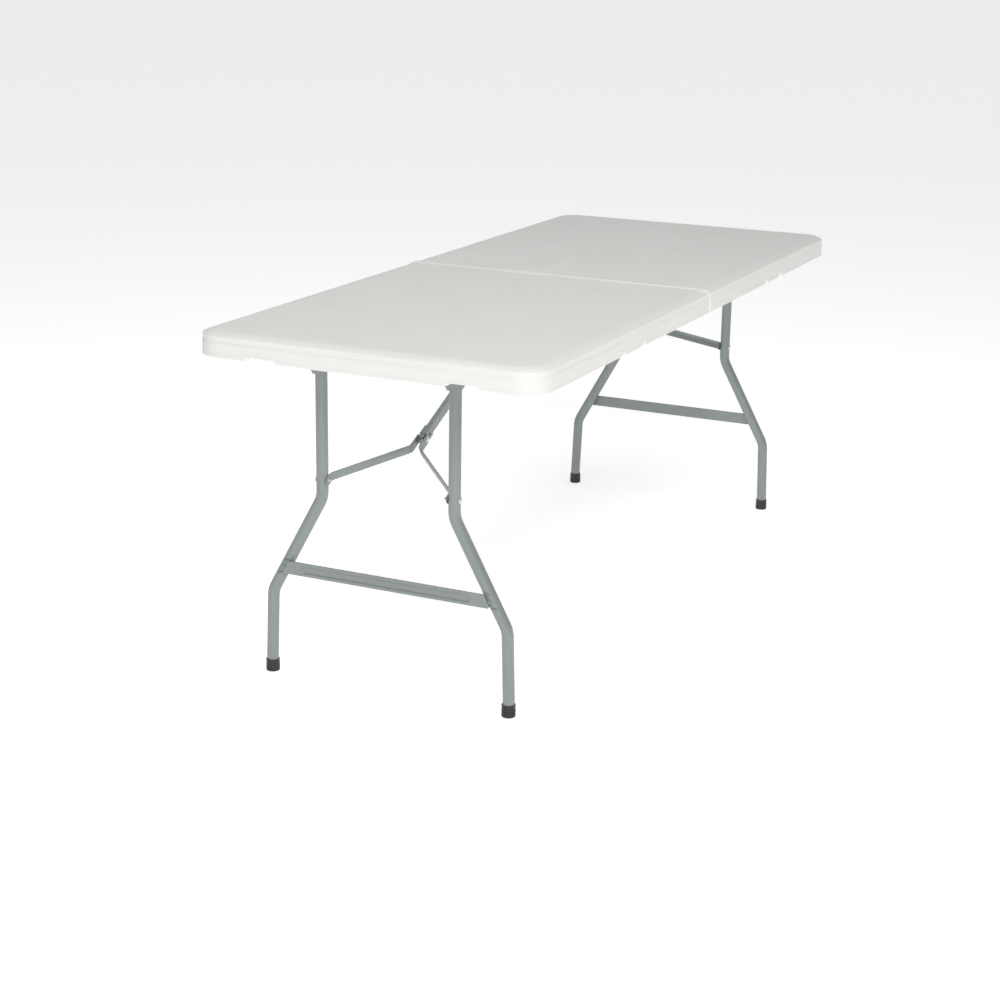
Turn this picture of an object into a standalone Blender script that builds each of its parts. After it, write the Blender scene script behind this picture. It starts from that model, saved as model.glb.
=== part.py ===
"""Folding picnic table: a fold-in-half table with two hollow moulded top halves, a steel leg frame
under each half, a folding brace that locks each frame, a centre hinge, a carry handle and latches.

Metres, +Z up, the floor at Z = 0 and the table's centre at X = Y = 0. Half a is at -X, half b at +X.
Every piece is drawn for half b, with its outboard end at +X, and mirrored for half a.
"""

from math import atan2, cos, hypot, pi, sin, tan

import bmesh
import bpy
from mathutils import Matrix, Vector

# Overall sizes
LENGTH = 1.83
WIDTH = 0.75
HEIGHT = 0.73

# Top halves
SKIRT = 0.050  # depth of the rim
PANEL = 0.018  # thickness of the top inside the rim
RIM = 0.022  # width of the rim at its foot
RIM_DRAFT = 0.003
OUTER_CORNER = 0.058
SEAM_CORNER = 0.010
LEAST_CORNER = 0.004
TOP_ROUND = 0.008
FOOT_ROUND = 0.002
SEAM_GAP = 0.0008  # from the table's centre plane to each half
RIM_FOOT = HEIGHT - SKIRT
CEILING = HEIGHT - PANEL

# Notches in the rim
FINGER_HALF, FINGER_RISE = 0.033, 0.007  # over each latch
SWING_HALF, SWING_RISE = 0.011, 0.008  # for each arm of the carry handle
SLOT_HALF, SLOT_RISE = 0.0055, 0.022  # for each centre hinge
PAST = 0.010  # how far a cutter reaches past what it cuts

# Leg frames
FRAME_X = 0.800  # from the table's centre to the legs
PIVOT_Z = 0.697
LEG_RADIUS = 0.0125
WALL = 0.0012
LEG_SIDES = 14
NECK_Y, NECK_Z = 0.1475, 0.392  # the leg's upper bend
KNEE_Y, KNEE_Z = 0.2655, 0.178  # its lower bend
FOOT_Y = 0.2705
ANKLE_Z = 0.035
BEND_RADIUS = 0.050
BEND_STEP = 0.17  # most turn between two rings of a bend, in radians
CAP_RADIUS = 0.0145
CAP_HEIGHT = 0.027
CAP_SOLE = 0.004
CAP_CHAMFER = 0.0015
STRETCHER_Z = 0.2365
STRETCHER_HEIGHT = 0.028
STRETCHER_REACH = 0.229  # to the middle of its sloping end
STRETCHER_THICK = 0.004
STRETCHER_CORNER = 0.003
RECESS_HALF, RECESS_REACH, RECESS_DEPTH = 0.007, 0.185, 0.0015  # pressed into the stretcher
GUSSET_Z = 0.647  # its lowest edge
GUSSET_FOOT, GUSSET_HALF = 0.012, 0.0215  # half widths at its lowest edge and above
GUSSET_FLARE = 0.0075  # height over which it widens
GUSSET_THICK = 0.0022
GUSSET_TOP = PIVOT_Z + 0.004
PIVOT_REACH = 0.320  # half the pivot tube's length
PLUG_LENGTH = 0.020  # of a plug inside the pivot tube
COLLAR_RADIUS, COLLAR_THICK = 0.012, 0.0014  # of the plug's collar, between tube and rail
SPIGOT_RADIUS, SPIGOT_REACH = 0.006, 0.012  # of the plug's end, which turns in the rail

# Side rails
RAIL_Y = 0.322  # inner wall
RAIL_WIDTH = 0.018
RAIL_FOOT, RAIL_TOP = 0.6895, 0.7115
RAIL_START, RAIL_END = 0.034, 0.872

# Brace: strap pivot Q on the leg, knuckle K, arm pivot U under the top
STRAP_PIVOT_Z = 0.428
ARM_PIVOT_X = 0.210
BRACE_HEIGHT = 0.019
STRAP_THICK = 0.0024
ARM_WIDTH = 0.011
ARM_WALL = 0.0018
KNUCKLE_REACH = 0.008  # metal past the knuckle
TAB_LENGTH = 0.034  # of each strap's straight end, before the knuckle
STRAP_START = 0.014  # of the strap's slope, past its bolt
KNUCKLE_PIN = 0.004
LOCK_START, LOCK_LENGTH = 0.006, 0.026  # the lock collar, from the knuckle
LOCK_WALL, LOCK_SIDE_GAP, LOCK_GAP = 0.0018, 0.0005, 0.0006
BRACKET_HALF, BRACKET_WALL, BRACKET_SIDE_GAP = 0.016, 0.002, 0.001
BRACKET_FOOT = PIVOT_Z - 0.008
BOLT_RADIUS = 0.003
HEAD_RADIUS, HEAD_HEIGHT = 0.0065, 0.0026
NUT_RADIUS, NUT_HEIGHT = 0.0055, 0.0045

# Centre hinge
HINGE_Z = RIM_FOOT - 0.0005
EYE_RADIUS = 0.0075
HINGE_PIN = 0.004
LEAF_THICK = 0.0025
LEAF_GAP = 0.0005  # between the two leaves
LEAF_END = 0.115
LEAF_FOOT, LEAF_TOP = 0.6905, 0.7085
HINGE_HEAD_RADIUS, HINGE_HEAD = 0.006, 0.0015

# Carry handle
HANDLE_X = -0.4575
HANDLE_SPAN = 0.110  # between the middles of its two arms
HANDLE_ARM = 0.014
HANDLE_REACH = 0.075
HANDLE_Y, HANDLE_Z = -0.3465, 0.684
HANDLE_HALF, GRIP_HALF, GRIP_RISE = 0.0025, 0.007, 0.0115
HANDLE_EYE = 0.004  # plastic past the pivot
STUB_RADIUS, STUB_LENGTH = 0.0014, 0.006
HANDLE_MOUNT_WIDTH, HANDLE_MOUNT_FOOT = 0.009, 0.0035
HANDLE_MOUNT_NEAR, HANDLE_MOUNT_FAR = -0.3494, -0.3405

# Latches
LATCH_Y, LATCH_Z = 0.217, 0.696
LATCH_X = 0.8855
LATCH_REACH = 0.040
LATCH_HALF, LATCH_PLATE = 0.005, 0.002  # half its height and half its thickness
BARB_DROP, BARB_WIDTH = 0.007, 0.005
LATCH_PIN, LATCH_HEAD = 0.0022, 0.004
KEEPER_LIP, KEEPER_WEB = 0.0045, 0.005
KEEPER_START, KEEPER_END = 0.0015, 0.018  # from the end of the folded latch

GAP = 0.0003  # between pieces that touch
RUN_GAP = 0.0004  # between a pin and its hole

# Folding brace, worked out so that it is straight in use and lies flat in the folded table.
REACH = FRAME_X - ARM_PIVOT_X
DROP = PIVOT_Z - STRAP_PIVOT_Z
BRACE_LENGTH = hypot(REACH, DROP)
STRAP_LENGTH = (BRACE_LENGTH - REACH + DROP) / 2
ARM_LENGTH = BRACE_LENGTH - STRAP_LENGTH
BRACE_TILT = atan2(DROP, REACH)

COLOURS = {
    "top": ((0.86, 0.86, 0.84), 0.45, 0.0),
    "steel": ((0.36, 0.40, 0.39), 0.38, 0.6),
    "zinc": ((0.62, 0.63, 0.63), 0.30, 1.0),
    "rubber": ((0.02, 0.02, 0.022), 0.70, 0.0),
    "plastic": ((0.80, 0.80, 0.78), 0.50, 0.0),
}


def clear_scene():
    for obj in list(bpy.data.objects):
        bpy.data.objects.remove(obj, do_unlink=True)


def material(name):
    found = bpy.data.materials.get(name)
    if found:
        return found
    colour, roughness, metallic = COLOURS[name]
    made = bpy.data.materials.new(name)
    made.use_nodes = True
    shader = made.node_tree.nodes["Principled BSDF"]
    shader.inputs["Base Color"].default_value = (*colour, 1)
    shader.inputs["Roughness"].default_value = roughness
    shader.inputs["Metallic"].default_value = metallic
    return made


def empty(name, at, parent=None):
    """A joint's axis: the pieces that turn about it are its children."""
    made = bpy.data.objects.new(name, None)
    made.empty_display_size = 0.05
    bpy.context.scene.collection.objects.link(made)
    made.location = Vector(at) - (world_place(parent) if parent else Vector())
    made.parent = parent
    return made


def world_place(obj):
    place = Vector(obj.location)
    while obj.parent:
        obj = obj.parent
        place += obj.location
    return place


def add_part(name, bm, parent, finish, smooth_below=None):
    """Makes a named object from world-space geometry, with its origin on its parent's."""
    bmesh.ops.recalc_face_normals(bm, faces=bm.faces)
    bmesh.ops.translate(bm, verts=bm.verts, vec=-world_place(parent))
    mesh = bpy.data.meshes.new(name)
    bm.to_mesh(mesh)
    bm.free()
    if smooth_below is not None:
        mesh.shade_smooth()
        mesh.set_sharp_from_angle(angle=smooth_below)
    mesh.materials.append(material(finish))
    obj = bpy.data.objects.new(name, mesh)
    obj.parent = parent
    bpy.context.scene.collection.objects.link(obj)
    return obj


def combine(obj, name, bm, parent, operation):
    """Joins the closed shape in bm to obj, or takes it away."""
    tool = add_part(name, bm, parent, "steel")
    tool.hide_render = True
    tool.display_type = "WIRE"
    modifier = obj.modifiers.new(name, "BOOLEAN")
    modifier.object = tool
    modifier.operation = operation
    modifier.solver = "EXACT"


def cut(obj, name, bm, parent):
    combine(obj, name, bm, parent, "DIFFERENCE")


def drill(obj, name, parent, at, axis, radius, reach, sides=12):
    """A round hole through obj, reaching the same way each side of at."""
    profile = ((0, -reach), (radius, -reach), (radius, reach), (0, reach))
    cut(obj, name, turned(profile, sides, at, axis), parent)


def mirrored(bm, side):
    """side is 1 for half b and -1 for half a."""
    if side < 0:
        bmesh.ops.scale(bm, vec=(-1, 1, 1), verts=bm.verts)
    return bm


def box(bm, low, high):
    size = Vector(high) - Vector(low)
    middle = (Vector(high) + Vector(low)) / 2
    matrix = Matrix.Translation(middle) @ Matrix.Diagonal((*size, 1))
    bmesh.ops.create_cube(bm, size=1, matrix=matrix)
    return bm


def prism(bm, outline, start, end, axis):
    """Extrudes a flat outline along axis. Its points are the other two coordinates, in X, Y, Z order."""
    order = {"X": lambda p, d: (d, *p), "Y": lambda p, d: (p[0], d, p[1]), "Z": lambda p, d: (*p, d)}
    rings = [[bm.verts.new(order[axis](p, d)) for p in outline] for d in (start, end)]
    join_rings(bm, rings, caps=True)
    return bm


def join_rings(bm, rings, caps=False, closed=False):
    """Quads between neighbouring rings. closed joins the last ring to the first, caps fills both ends."""
    count = len(rings[0])
    pairs = list(zip(rings, rings[1:]))
    if closed:
        pairs.append((rings[-1], rings[0]))
    for one, two in pairs:
        for i in range(count):
            j = (i + 1) % count
            bm.faces.new((one[i], one[j], two[j], two[i]))
    if caps:
        bm.faces.new(rings[0])
        bm.faces.new(rings[-1])


def arc(centre, radius, start, end, steps):
    """Points on an arc, in a plane, from start to end in radians."""
    turn = (end - start) / steps
    return [
        (centre[0] + radius * cos(start + turn * i), centre[1] + radius * sin(start + turn * i))
        for i in range(steps + 1)
    ]


def rounded_rectangle(x0, x1, y0, y1, seam_corner, outer_corner, steps=7):
    """Counter-clockwise outline with seam_corner at both corners at x0 and outer_corner at both at x1."""
    r, s = outer_corner, seam_corner
    return (
        arc((x1 - r, y1 - r), r, 0, pi / 2, steps)
        + arc((x0 + s, y1 - s), s, pi / 2, pi, steps)
        + arc((x0 + s, y0 + s), s, pi, 3 * pi / 2, steps)
        + arc((x1 - r, y0 + r), r, 3 * pi / 2, 2 * pi, steps)
    )


def panel_ring(bm, inset, z):
    outline = rounded_rectangle(
        SEAM_GAP + inset,
        LENGTH / 2 - inset,
        -WIDTH / 2 + inset,
        WIDTH / 2 - inset,
        max(SEAM_CORNER - inset, LEAST_CORNER),
        max(OUTER_CORNER - inset, LEAST_CORNER),
    )
    return [bm.verts.new((x, y, z)) for x, y in outline]


def turned(profile, sides, at, axis):
    """Turns a closed (radius, height) outline about axis through at. A point of radius 0 is on the axis."""
    bm = bmesh.new()
    rings = []
    for radius, height in profile:
        if radius == 0:
            rings.append([bm.verts.new((0, 0, height))])
            continue
        turns = [2 * pi * i / sides for i in range(sides)]
        rings.append([bm.verts.new((radius * cos(t), radius * sin(t), height)) for t in turns])
    count = len(rings)
    hollow = all(len(ring) > 1 for ring in rings)
    for k in range(count if hollow else count - 1):
        one, two = rings[k], rings[(k + 1) % count]
        for i in range(sides):
            j = (i + 1) % sides
            corners = [one[i % len(one)], one[j % len(one)], two[j % len(two)], two[i % len(two)]]
            bm.faces.new(list(dict.fromkeys(corners)))
    turn = Vector((0, 0, 1)).rotation_difference(Vector(axis)).to_matrix().to_4x4()
    bmesh.ops.transform(bm, matrix=Matrix.Translation(at) @ turn, verts=bm.verts)
    return bm


def rounded_path(points, radius):
    """A polyline in a plane with its inner corners turned into arcs of the given radius."""
    path = [Vector(points[0])]
    for before, corner, after in zip(points, points[1:], points[2:]):
        before, corner, after = Vector(before), Vector(corner), Vector(after)
        way_in, way_out = (corner - before).normalized(), (after - corner).normalized()
        bend = way_in.angle(way_out)
        back = radius * tan(bend / 2)
        centre = corner + (way_out - way_in).normalized() * radius / cos(bend / 2)
        first = corner - way_in * back - centre
        axis = way_in.cross(way_out).normalized()
        steps = max(1, round(bend / BEND_STEP))
        for i in range(steps + 1):
            path.append(centre + Matrix.Rotation(bend * i / steps, 3, axis) @ first)
    path.append(Vector(points[-1]))
    return path


def tube(path, radius, wall, sides, across):
    """An open-ended tube along a flat path. across is the direction square to the path's plane."""
    bm = bmesh.new()
    across = Vector(across)
    turns = [2 * pi * k / sides for k in range(sides)]
    outer, inner = [], []
    for i, point in enumerate(path):
        along = (path[min(i + 1, len(path) - 1)] - path[max(i - 1, 0)]).normalized()
        side = across.cross(along)
        for ring, r in ((outer, radius), (inner, radius - wall)):
            ring.append([bm.verts.new(point + r * (across * cos(t) + side * sin(t))) for t in turns])
    join_rings(bm, outer + inner[::-1], closed=True)
    return bm


def brace_place(u, y, h):
    """A point of half b's brace: u runs from the strap pivot towards the arm pivot, h is square to it."""
    x = FRAME_X - u * cos(BRACE_TILT) + h * sin(BRACE_TILT)
    z = STRAP_PIVOT_Z + u * sin(BRACE_TILT) + h * cos(BRACE_TILT)
    return Vector((x, y, z))


def brace_prism(outline, y0, y1):
    """Extrudes an outline in (u, h) across Y."""
    bm = bmesh.new()
    rings = [[bm.verts.new(brace_place(u, y, h)) for u, h in outline] for y in (y0, y1)]
    join_rings(bm, rings, caps=True)
    return bm


def slot_outline(u0, u1, half):
    """A bar with round ends, from end circle to end circle."""
    return arc((u0, 0), half, pi / 2, 3 * pi / 2, 8) + arc((u1, 0), half, -pi / 2, pi / 2, 8)


def make_top(tag, side, frame):
    """One moulded half of the top: flat inside, with a rim all round that the legs fold up into."""
    bm = bmesh.new()
    rings = [
        panel_ring(bm, RIM + RIM_DRAFT, CEILING),
        panel_ring(bm, RIM, RIM_FOOT),
        panel_ring(bm, FOOT_ROUND, RIM_FOOT),
        panel_ring(bm, 0, RIM_FOOT + FOOT_ROUND),
    ]
    for i in range(4):
        turn = i * pi / 6
        rings.append(panel_ring(bm, TOP_ROUND * (1 - cos(turn)), HEIGHT - TOP_ROUND * (1 - sin(turn))))
    join_rings(bm, rings, caps=True)
    top = add_part("top_half_" + tag, mirrored(bm, side), frame, "top", 0.6)

    bm = bmesh.new()
    foot, end_x, side_y = RIM_FOOT - PAST, LENGTH / 2, -WIDTH / 2
    for y in (-LATCH_Y, LATCH_Y):
        low = (end_x - RIM - PAST, y - FINGER_HALF, foot)
        box(bm, low, (end_x + PAST, y + FINGER_HALF, RIM_FOOT + FINGER_RISE))
    for end in (-1, 1):
        x = -HANDLE_X + end * HANDLE_SPAN / 2
        low = (x - SWING_HALF, side_y - PAST, foot)
        box(bm, low, (x + SWING_HALF, side_y + RIM + PAST, RIM_FOOT + SWING_RISE))
    for sign in (-1, 1):
        y = sign * (RAIL_Y - 0.003)
        box(bm, (-PAST, y - SLOT_HALF, foot), (RIM + PAST, y + SLOT_HALF, RIM_FOOT + SLOT_RISE))
    cut(top, "top_notches_" + tag, mirrored(bm, side), frame)


def make_rails(tag, side, frame):
    """Two box-section side rails that carry the leg frame's pivot and the centre hinge."""
    for hand, sign in (("left", 1), ("right", -1)):
        rings = []
        bm = bmesh.new()
        for x in (RAIL_START, RAIL_END):
            for inset in (0, WALL):
                y0, y1 = RAIL_Y + inset, RAIL_Y + RAIL_WIDTH - inset
                z0, z1 = RAIL_FOOT + inset, RAIL_TOP - inset
                corners = ((y0, z0), (y1, z0), (y1, z1), (y0, z1))
                rings.append([bm.verts.new((x, sign * y, z)) for y, z in corners])
        join_rings(bm, [rings[0], rings[2], rings[3], rings[1]], closed=True)
        rail = add_part(f"side_rail_{tag}_{hand}", mirrored(bm, side), frame, "steel")
        place = (side * FRAME_X, sign * RAIL_Y, PIVOT_Z)
        drill(rail, f"rail_hole_{tag}_{hand}", frame, place, (0, 1, 0), SPIGOT_RADIUS + RUN_GAP, 0.006, 20)


def make_legs(tag, side, frame):
    """The leg frame that turns about the pivot tube: two bent legs, a stretcher and the foot caps."""
    axis = empty(f"legs_{tag}_axis", (side * FRAME_X, 0, PIVOT_Z), frame)
    near = FRAME_X + LEG_RADIUS + GAP  # the outboard face of the legs
    ends = [Vector((FRAME_X, y, PIVOT_Z)) for y in (-PIVOT_REACH, PIVOT_REACH)]
    bm = mirrored(tube(ends, LEG_RADIUS, WALL, LEG_SIDES, (1, 0, 0)), side)
    add_part("pivot_tube_" + tag, bm, axis, "steel", 0.6)

    for hand, sign in (("left", 1), ("right", -1)):
        bore = LEG_RADIUS - WALL - GAP
        plug = (
            (0, -PLUG_LENGTH),
            (bore, -PLUG_LENGTH),
            (bore, GAP),
            (COLLAR_RADIUS, GAP),
            (COLLAR_RADIUS, COLLAR_THICK),
            (SPIGOT_RADIUS, COLLAR_THICK),
            (SPIGOT_RADIUS, SPIGOT_REACH),
            (0, SPIGOT_REACH),
        )
        bm = turned(plug, 16, (side * FRAME_X, sign * PIVOT_REACH, PIVOT_Z), (0, sign, 0))
        add_part(f"pivot_plug_{tag}_{hand}", bm, axis, "plastic", 0.6)

        corners = (
            (NECK_Y, PIVOT_Z - LEG_RADIUS - GAP),
            (NECK_Y, NECK_Z),
            (KNEE_Y, KNEE_Z),
            (FOOT_Y, ANKLE_Z),
            (FOOT_Y, CAP_SOLE + GAP),
        )
        path = rounded_path([(FRAME_X, sign * y, z) for y, z in corners], BEND_RADIUS)
        bm = mirrored(tube(path, LEG_RADIUS, WALL, LEG_SIDES, (1, 0, 0)), side)
        leg = add_part(f"leg_{tag}_{hand}", bm, axis, "steel", 0.6)
        place = (side * FRAME_X, sign * NECK_Y, STRAP_PIVOT_Z)
        drill(leg, f"bolt_hole_{tag}_{hand}", axis, place, (0, 1, 0), BOLT_RADIUS + GAP, LEG_RADIUS + 0.003)

        cup = LEG_RADIUS + GAP
        cap = (
            (0, 0),
            (CAP_RADIUS - CAP_CHAMFER, 0),
            (CAP_RADIUS, CAP_CHAMFER),
            (CAP_RADIUS - 0.0008, CAP_HEIGHT),
            (cup, CAP_HEIGHT),
            (cup, CAP_SOLE),
            (0, CAP_SOLE),
        )
        bm = turned(cap, 20, (side * FRAME_X, sign * FOOT_Y, 0), (0, 0, 1))
        add_part(f"foot_cap_{tag}_{hand}", bm, axis, "rubber", 0.6)
        add_part(f"brace_bolt_{tag}_{hand}", brace_bolt(side, sign), axis, "zinc", 0.6)
        bm = prism(bmesh.new(), gusset_outline(sign), near, near + GUSSET_THICK, "X")
        add_part(f"leg_gusset_{tag}_{hand}", mirrored(bm, side), axis, "steel")

    bm = prism(bmesh.new(), stretcher_outline(), near, near + STRETCHER_THICK, "X")
    stretcher = add_part("stretcher_" + tag, mirrored(bm, side), axis, "steel", 0.6)
    outline = arc((-RECESS_REACH, STRETCHER_Z), RECESS_HALF, pi / 2, 3 * pi / 2, 6)
    outline += arc((RECESS_REACH, STRETCHER_Z), RECESS_HALF, -pi / 2, pi / 2, 6)
    face = near + STRETCHER_THICK
    bm = prism(bmesh.new(), outline, face - RECESS_DEPTH, face + PAST, "X")
    cut(stretcher, "stretcher_recess_" + tag, mirrored(bm, side), axis)
    return axis


def stretcher_outline():
    """A bar in Y and Z with its ends cut along the sloping legs and their corners rounded."""
    slope = (KNEE_Y - NECK_Y) / (NECK_Z - KNEE_Z)
    top, foot = STRETCHER_Z + STRETCHER_HEIGHT / 2, STRETCHER_Z - STRETCHER_HEIGHT / 2
    end_top = STRETCHER_REACH - slope * STRETCHER_HEIGHT / 2
    end_foot = STRETCHER_REACH + slope * STRETCHER_HEIGHT / 2
    lean = atan2(slope, 1)
    r = STRETCHER_CORNER
    blunt, sharp = r * tan((pi / 2 - lean) / 2), r * tan((pi / 2 + lean) / 2)
    half = arc((end_foot - sharp, foot + r), r, -pi / 2, lean, 4)
    half += arc((end_top - blunt, top - r), r, lean, pi / 2, 3)
    return half + [(-y, z) for y, z in reversed(half)]


def gusset_outline(sign):
    """The flared plate that ties a leg's top to the pivot tube, in Y and Z."""
    return [
        (sign * NECK_Y + y, z)
        for y, z in (
            (-GUSSET_FOOT, GUSSET_Z),
            (GUSSET_FOOT, GUSSET_Z),
            (GUSSET_HALF, GUSSET_Z + GUSSET_FLARE),
            (GUSSET_HALF, GUSSET_TOP),
            (-GUSSET_HALF, GUSSET_TOP),
            (-GUSSET_HALF, GUSSET_Z + GUSSET_FLARE),
        )
    ]


def brace_bolt(side, sign):
    """Dome head outside the leg, shank through the leg and the strap, and a nut inside."""
    outside, inside = LEG_RADIUS + GAP, -(LEG_RADIUS + STRAP_THICK + 3 * GAP)
    profile = (
        (0, inside - NUT_HEIGHT),
        (NUT_RADIUS, inside - NUT_HEIGHT),
        (NUT_RADIUS, inside),
        (BOLT_RADIUS, inside),
        (BOLT_RADIUS, outside),
        (HEAD_RADIUS, outside),
        (HEAD_RADIUS * 0.8, outside + HEAD_HEIGHT * 0.7),
        (0, outside + HEAD_HEIGHT),
    )
    return turned(profile, 12, (side * FRAME_X, sign * NECK_Y, STRAP_PIVOT_Z), (0, sign, 0))


def make_straps(tag, side, legs):
    """The brace's two lower straps, from the legs' inner faces to the knuckle."""
    axis = empty(f"straps_{tag}_axis", (side * FRAME_X, 0, STRAP_PIVOT_Z), legs)
    half = BRACE_HEIGHT / 2
    leg_y = NECK_Y - LEG_RADIUS - GAP - STRAP_THICK / 2
    knuckle_y = ARM_WIDTH / 2 + 0.003 + STRAP_THICK / 2
    route = [
        (-half, leg_y),
        (STRAP_START, leg_y),
        (STRAP_LENGTH - TAB_LENGTH, knuckle_y),
        (STRAP_LENGTH + KNUCKLE_REACH, knuckle_y),
    ]
    for hand, sign in (("left", 1), ("right", -1)):
        bm = bmesh.new()
        rings = []
        for h in (-half, half):
            edge = offset_path(route, STRAP_THICK / 2) + offset_path(route, -STRAP_THICK / 2)[::-1]
            rings.append([bm.verts.new(brace_place(u, sign * y, h)) for u, y in edge])
        join_rings(bm, rings, caps=True)
        strap = add_part(f"brace_strap_{tag}_{hand}", mirrored(bm, side), axis, "steel")
        place = (side * FRAME_X, sign * leg_y, STRAP_PIVOT_Z)
        drill(strap, f"strap_hole_{tag}_{hand}", axis, place, (0, 1, 0), BOLT_RADIUS + RUN_GAP, 0.004)


def offset_path(route, distance):
    """The route moved sideways by distance, with its corners mitred."""
    moved = []
    for i, point in enumerate(route):
        here = Vector(point)
        ways = []
        if i > 0:
            ways.append((here - Vector(route[i - 1])).normalized())
        if i < len(route) - 1:
            ways.append((Vector(route[i + 1]) - here).normalized())
        normals = [Vector((-way.y, way.x)) for way in ways]
        middle = sum(normals, Vector((0, 0))).normalized()
        moved.append(tuple(here + middle * distance / middle.dot(normals[0])))
    return moved


def make_arm(tag, side, frame):
    """The brace's upper arm, a channel that turns in its bracket, with the knuckle pin and lock collar."""
    pivot = (side * ARM_PIVOT_X, 0, PIVOT_Z)
    axis = empty(f"arm_{tag}_axis", pivot, frame)
    half, y = BRACE_HEIGHT / 2, ARM_WIDTH / 2
    outline = slot_outline(STRAP_LENGTH, BRACE_LENGTH, half)
    arm = add_part("brace_arm_" + tag, mirrored(brace_prism(outline, -y, y), side), axis, "steel", 0.6)
    u0, u1 = STRAP_LENGTH - 2 * half, BRACE_LENGTH + 2 * half
    hollow = ((u0, -2 * half), (u1, -2 * half), (u1, half - ARM_WALL), (u0, half - ARM_WALL))
    bm = brace_prism(hollow, -y + ARM_WALL, y - ARM_WALL)
    cut(arm, "arm_channel_" + tag, mirrored(bm, side), axis)
    for name, u, radius in (("knuckle", STRAP_LENGTH, KNUCKLE_PIN), ("pivot", BRACE_LENGTH, BOLT_RADIUS)):
        place = brace_place(u, 0, 0)
        place.x *= side
        drill(arm, f"arm_{name}_hole_{tag}", axis, place, (0, 1, 0), radius + GAP, ARM_WIDTH)
    place = brace_place(STRAP_LENGTH, 0, 0)
    place.x *= side
    reach = y + LOCK_SIDE_GAP + LOCK_WALL
    profile = ((0, -reach), (KNUCKLE_PIN, -reach), (KNUCKLE_PIN, reach), (0, reach))
    bm = turned(profile, 12, place, (0, 1, 0))
    add_part("knuckle_pin_" + tag, bm, axis, "zinc", 0.6)

    # The collar is a rectangular ring that slides on the arm just above the knuckle.
    collar_axis = empty(f"collar_{tag}_slide", tuple(place), axis)
    start = STRAP_LENGTH + LOCK_START
    inner_y, inner_h = y + LOCK_SIDE_GAP, half + LOCK_GAP
    bm = bmesh.new()
    rings = []
    for u in (start, start + LOCK_LENGTH):
        for wall in (LOCK_WALL, 0):
            dy, dh = inner_y + wall, inner_h + wall
            corners = ((-dy, -dh), (dy, -dh), (dy, dh), (-dy, dh))
            rings.append([bm.verts.new(brace_place(u, cy, ch)) for cy, ch in corners])
    join_rings(bm, [rings[0], rings[2], rings[3], rings[1]], closed=True)
    add_part("lock_collar_" + tag, mirrored(bm, side), collar_axis, "zinc")

    # The bracket is a channel under the top, with a pin through its two ears.
    inner = y + BRACKET_SIDE_GAP
    outer, base = inner + BRACKET_WALL, CEILING - GAP - BRACKET_WALL
    outline = (
        (-outer, BRACKET_FOOT),
        (-inner, BRACKET_FOOT),
        (-inner, base),
        (inner, base),
        (inner, BRACKET_FOOT),
        (outer, BRACKET_FOOT),
        (outer, CEILING - GAP),
        (-outer, CEILING - GAP),
    )
    bm = prism(bmesh.new(), outline, ARM_PIVOT_X - BRACKET_HALF, ARM_PIVOT_X + BRACKET_HALF, "X")
    bracket = add_part("brace_bracket_" + tag, mirrored(bm, side), frame, "steel")
    drill(bracket, "bracket_hole_" + tag, frame, pivot, (0, 1, 0), BOLT_RADIUS + GAP, 2 * outer)
    head, reach, past = 0.005, outer + GAP, 0.002
    profile = ((0, -reach - past), (head, -reach - past), (head, -reach), (BOLT_RADIUS, -reach))
    profile += ((BOLT_RADIUS, reach + past), (0, reach + past))
    add_part("bracket_pin_" + tag, turned(profile, 12, pivot, (0, 1, 0)), frame, "zinc", 0.6)


def make_hinge_leaves(tag, side, frame):
    """A flat leaf beside each rail, with its eye on the centre axis. Half b's leaves lie inside half a's."""
    outline = [(LEAF_END, LEAF_TOP), (LEAF_END, LEAF_FOOT), (0.030, LEAF_FOOT)]
    outline += arc((0, HINGE_Z), EYE_RADIUS, -pi / 6, -pi, 6)
    outline += arc((0, HINGE_Z), EYE_RADIUS, -pi, -1.45 * pi, 5)[1:]
    outline += [(0.026, LEAF_TOP - 0.008), (0.034, LEAF_TOP)]
    for hand, sign in (("left", 1), ("right", -1)):
        outer = RAIL_Y - GAP - (0 if side < 0 else LEAF_THICK + LEAF_GAP)
        bm = prism(bmesh.new(), outline, sign * (outer - LEAF_THICK), sign * outer, "Y")
        leaf = add_part(f"hinge_leaf_{tag}_{hand}", mirrored(bm, side), frame, "zinc")
        if side > 0:  # a pad fills the space between half b's leaf and its rail
            low, high = sorted((sign * (outer - LEAF_THICK / 2), sign * (RAIL_Y - GAP)))
            bm = box(bmesh.new(), (0.045, low, LEAF_FOOT + 0.002), (0.110, high, LEAF_TOP - 0.002))
            combine(leaf, f"leaf_pad_{tag}_{hand}", bm, frame, "UNION")
        place = (0, sign * RAIL_Y, HINGE_Z)
        drill(leaf, f"leaf_hole_{tag}_{hand}", frame, place, (0, 1, 0), HINGE_PIN + RUN_GAP, RIM, 16)


def make_hinge_pins(frame):
    for hand, sign in (("left", 1), ("right", -1)):
        inner = -(2 * LEAF_THICK + LEAF_GAP + 2 * GAP)
        profile = (
            (0, inner - HINGE_HEAD),
            (HINGE_HEAD_RADIUS, inner - HINGE_HEAD),
            (HINGE_HEAD_RADIUS, inner - GAP),
            (HINGE_PIN, inner - GAP),
            (HINGE_PIN, 0),
            (HINGE_HEAD_RADIUS, 0),
            (HINGE_HEAD_RADIUS, HINGE_HEAD),
            (0, HINGE_HEAD),
        )
        bm = turned(profile, 16, (0, sign * (RAIL_Y + GAP), HINGE_Z), (0, sign, 0))
        add_part("hinge_pin_" + hand, bm, frame, "zinc", 0.6)


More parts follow.
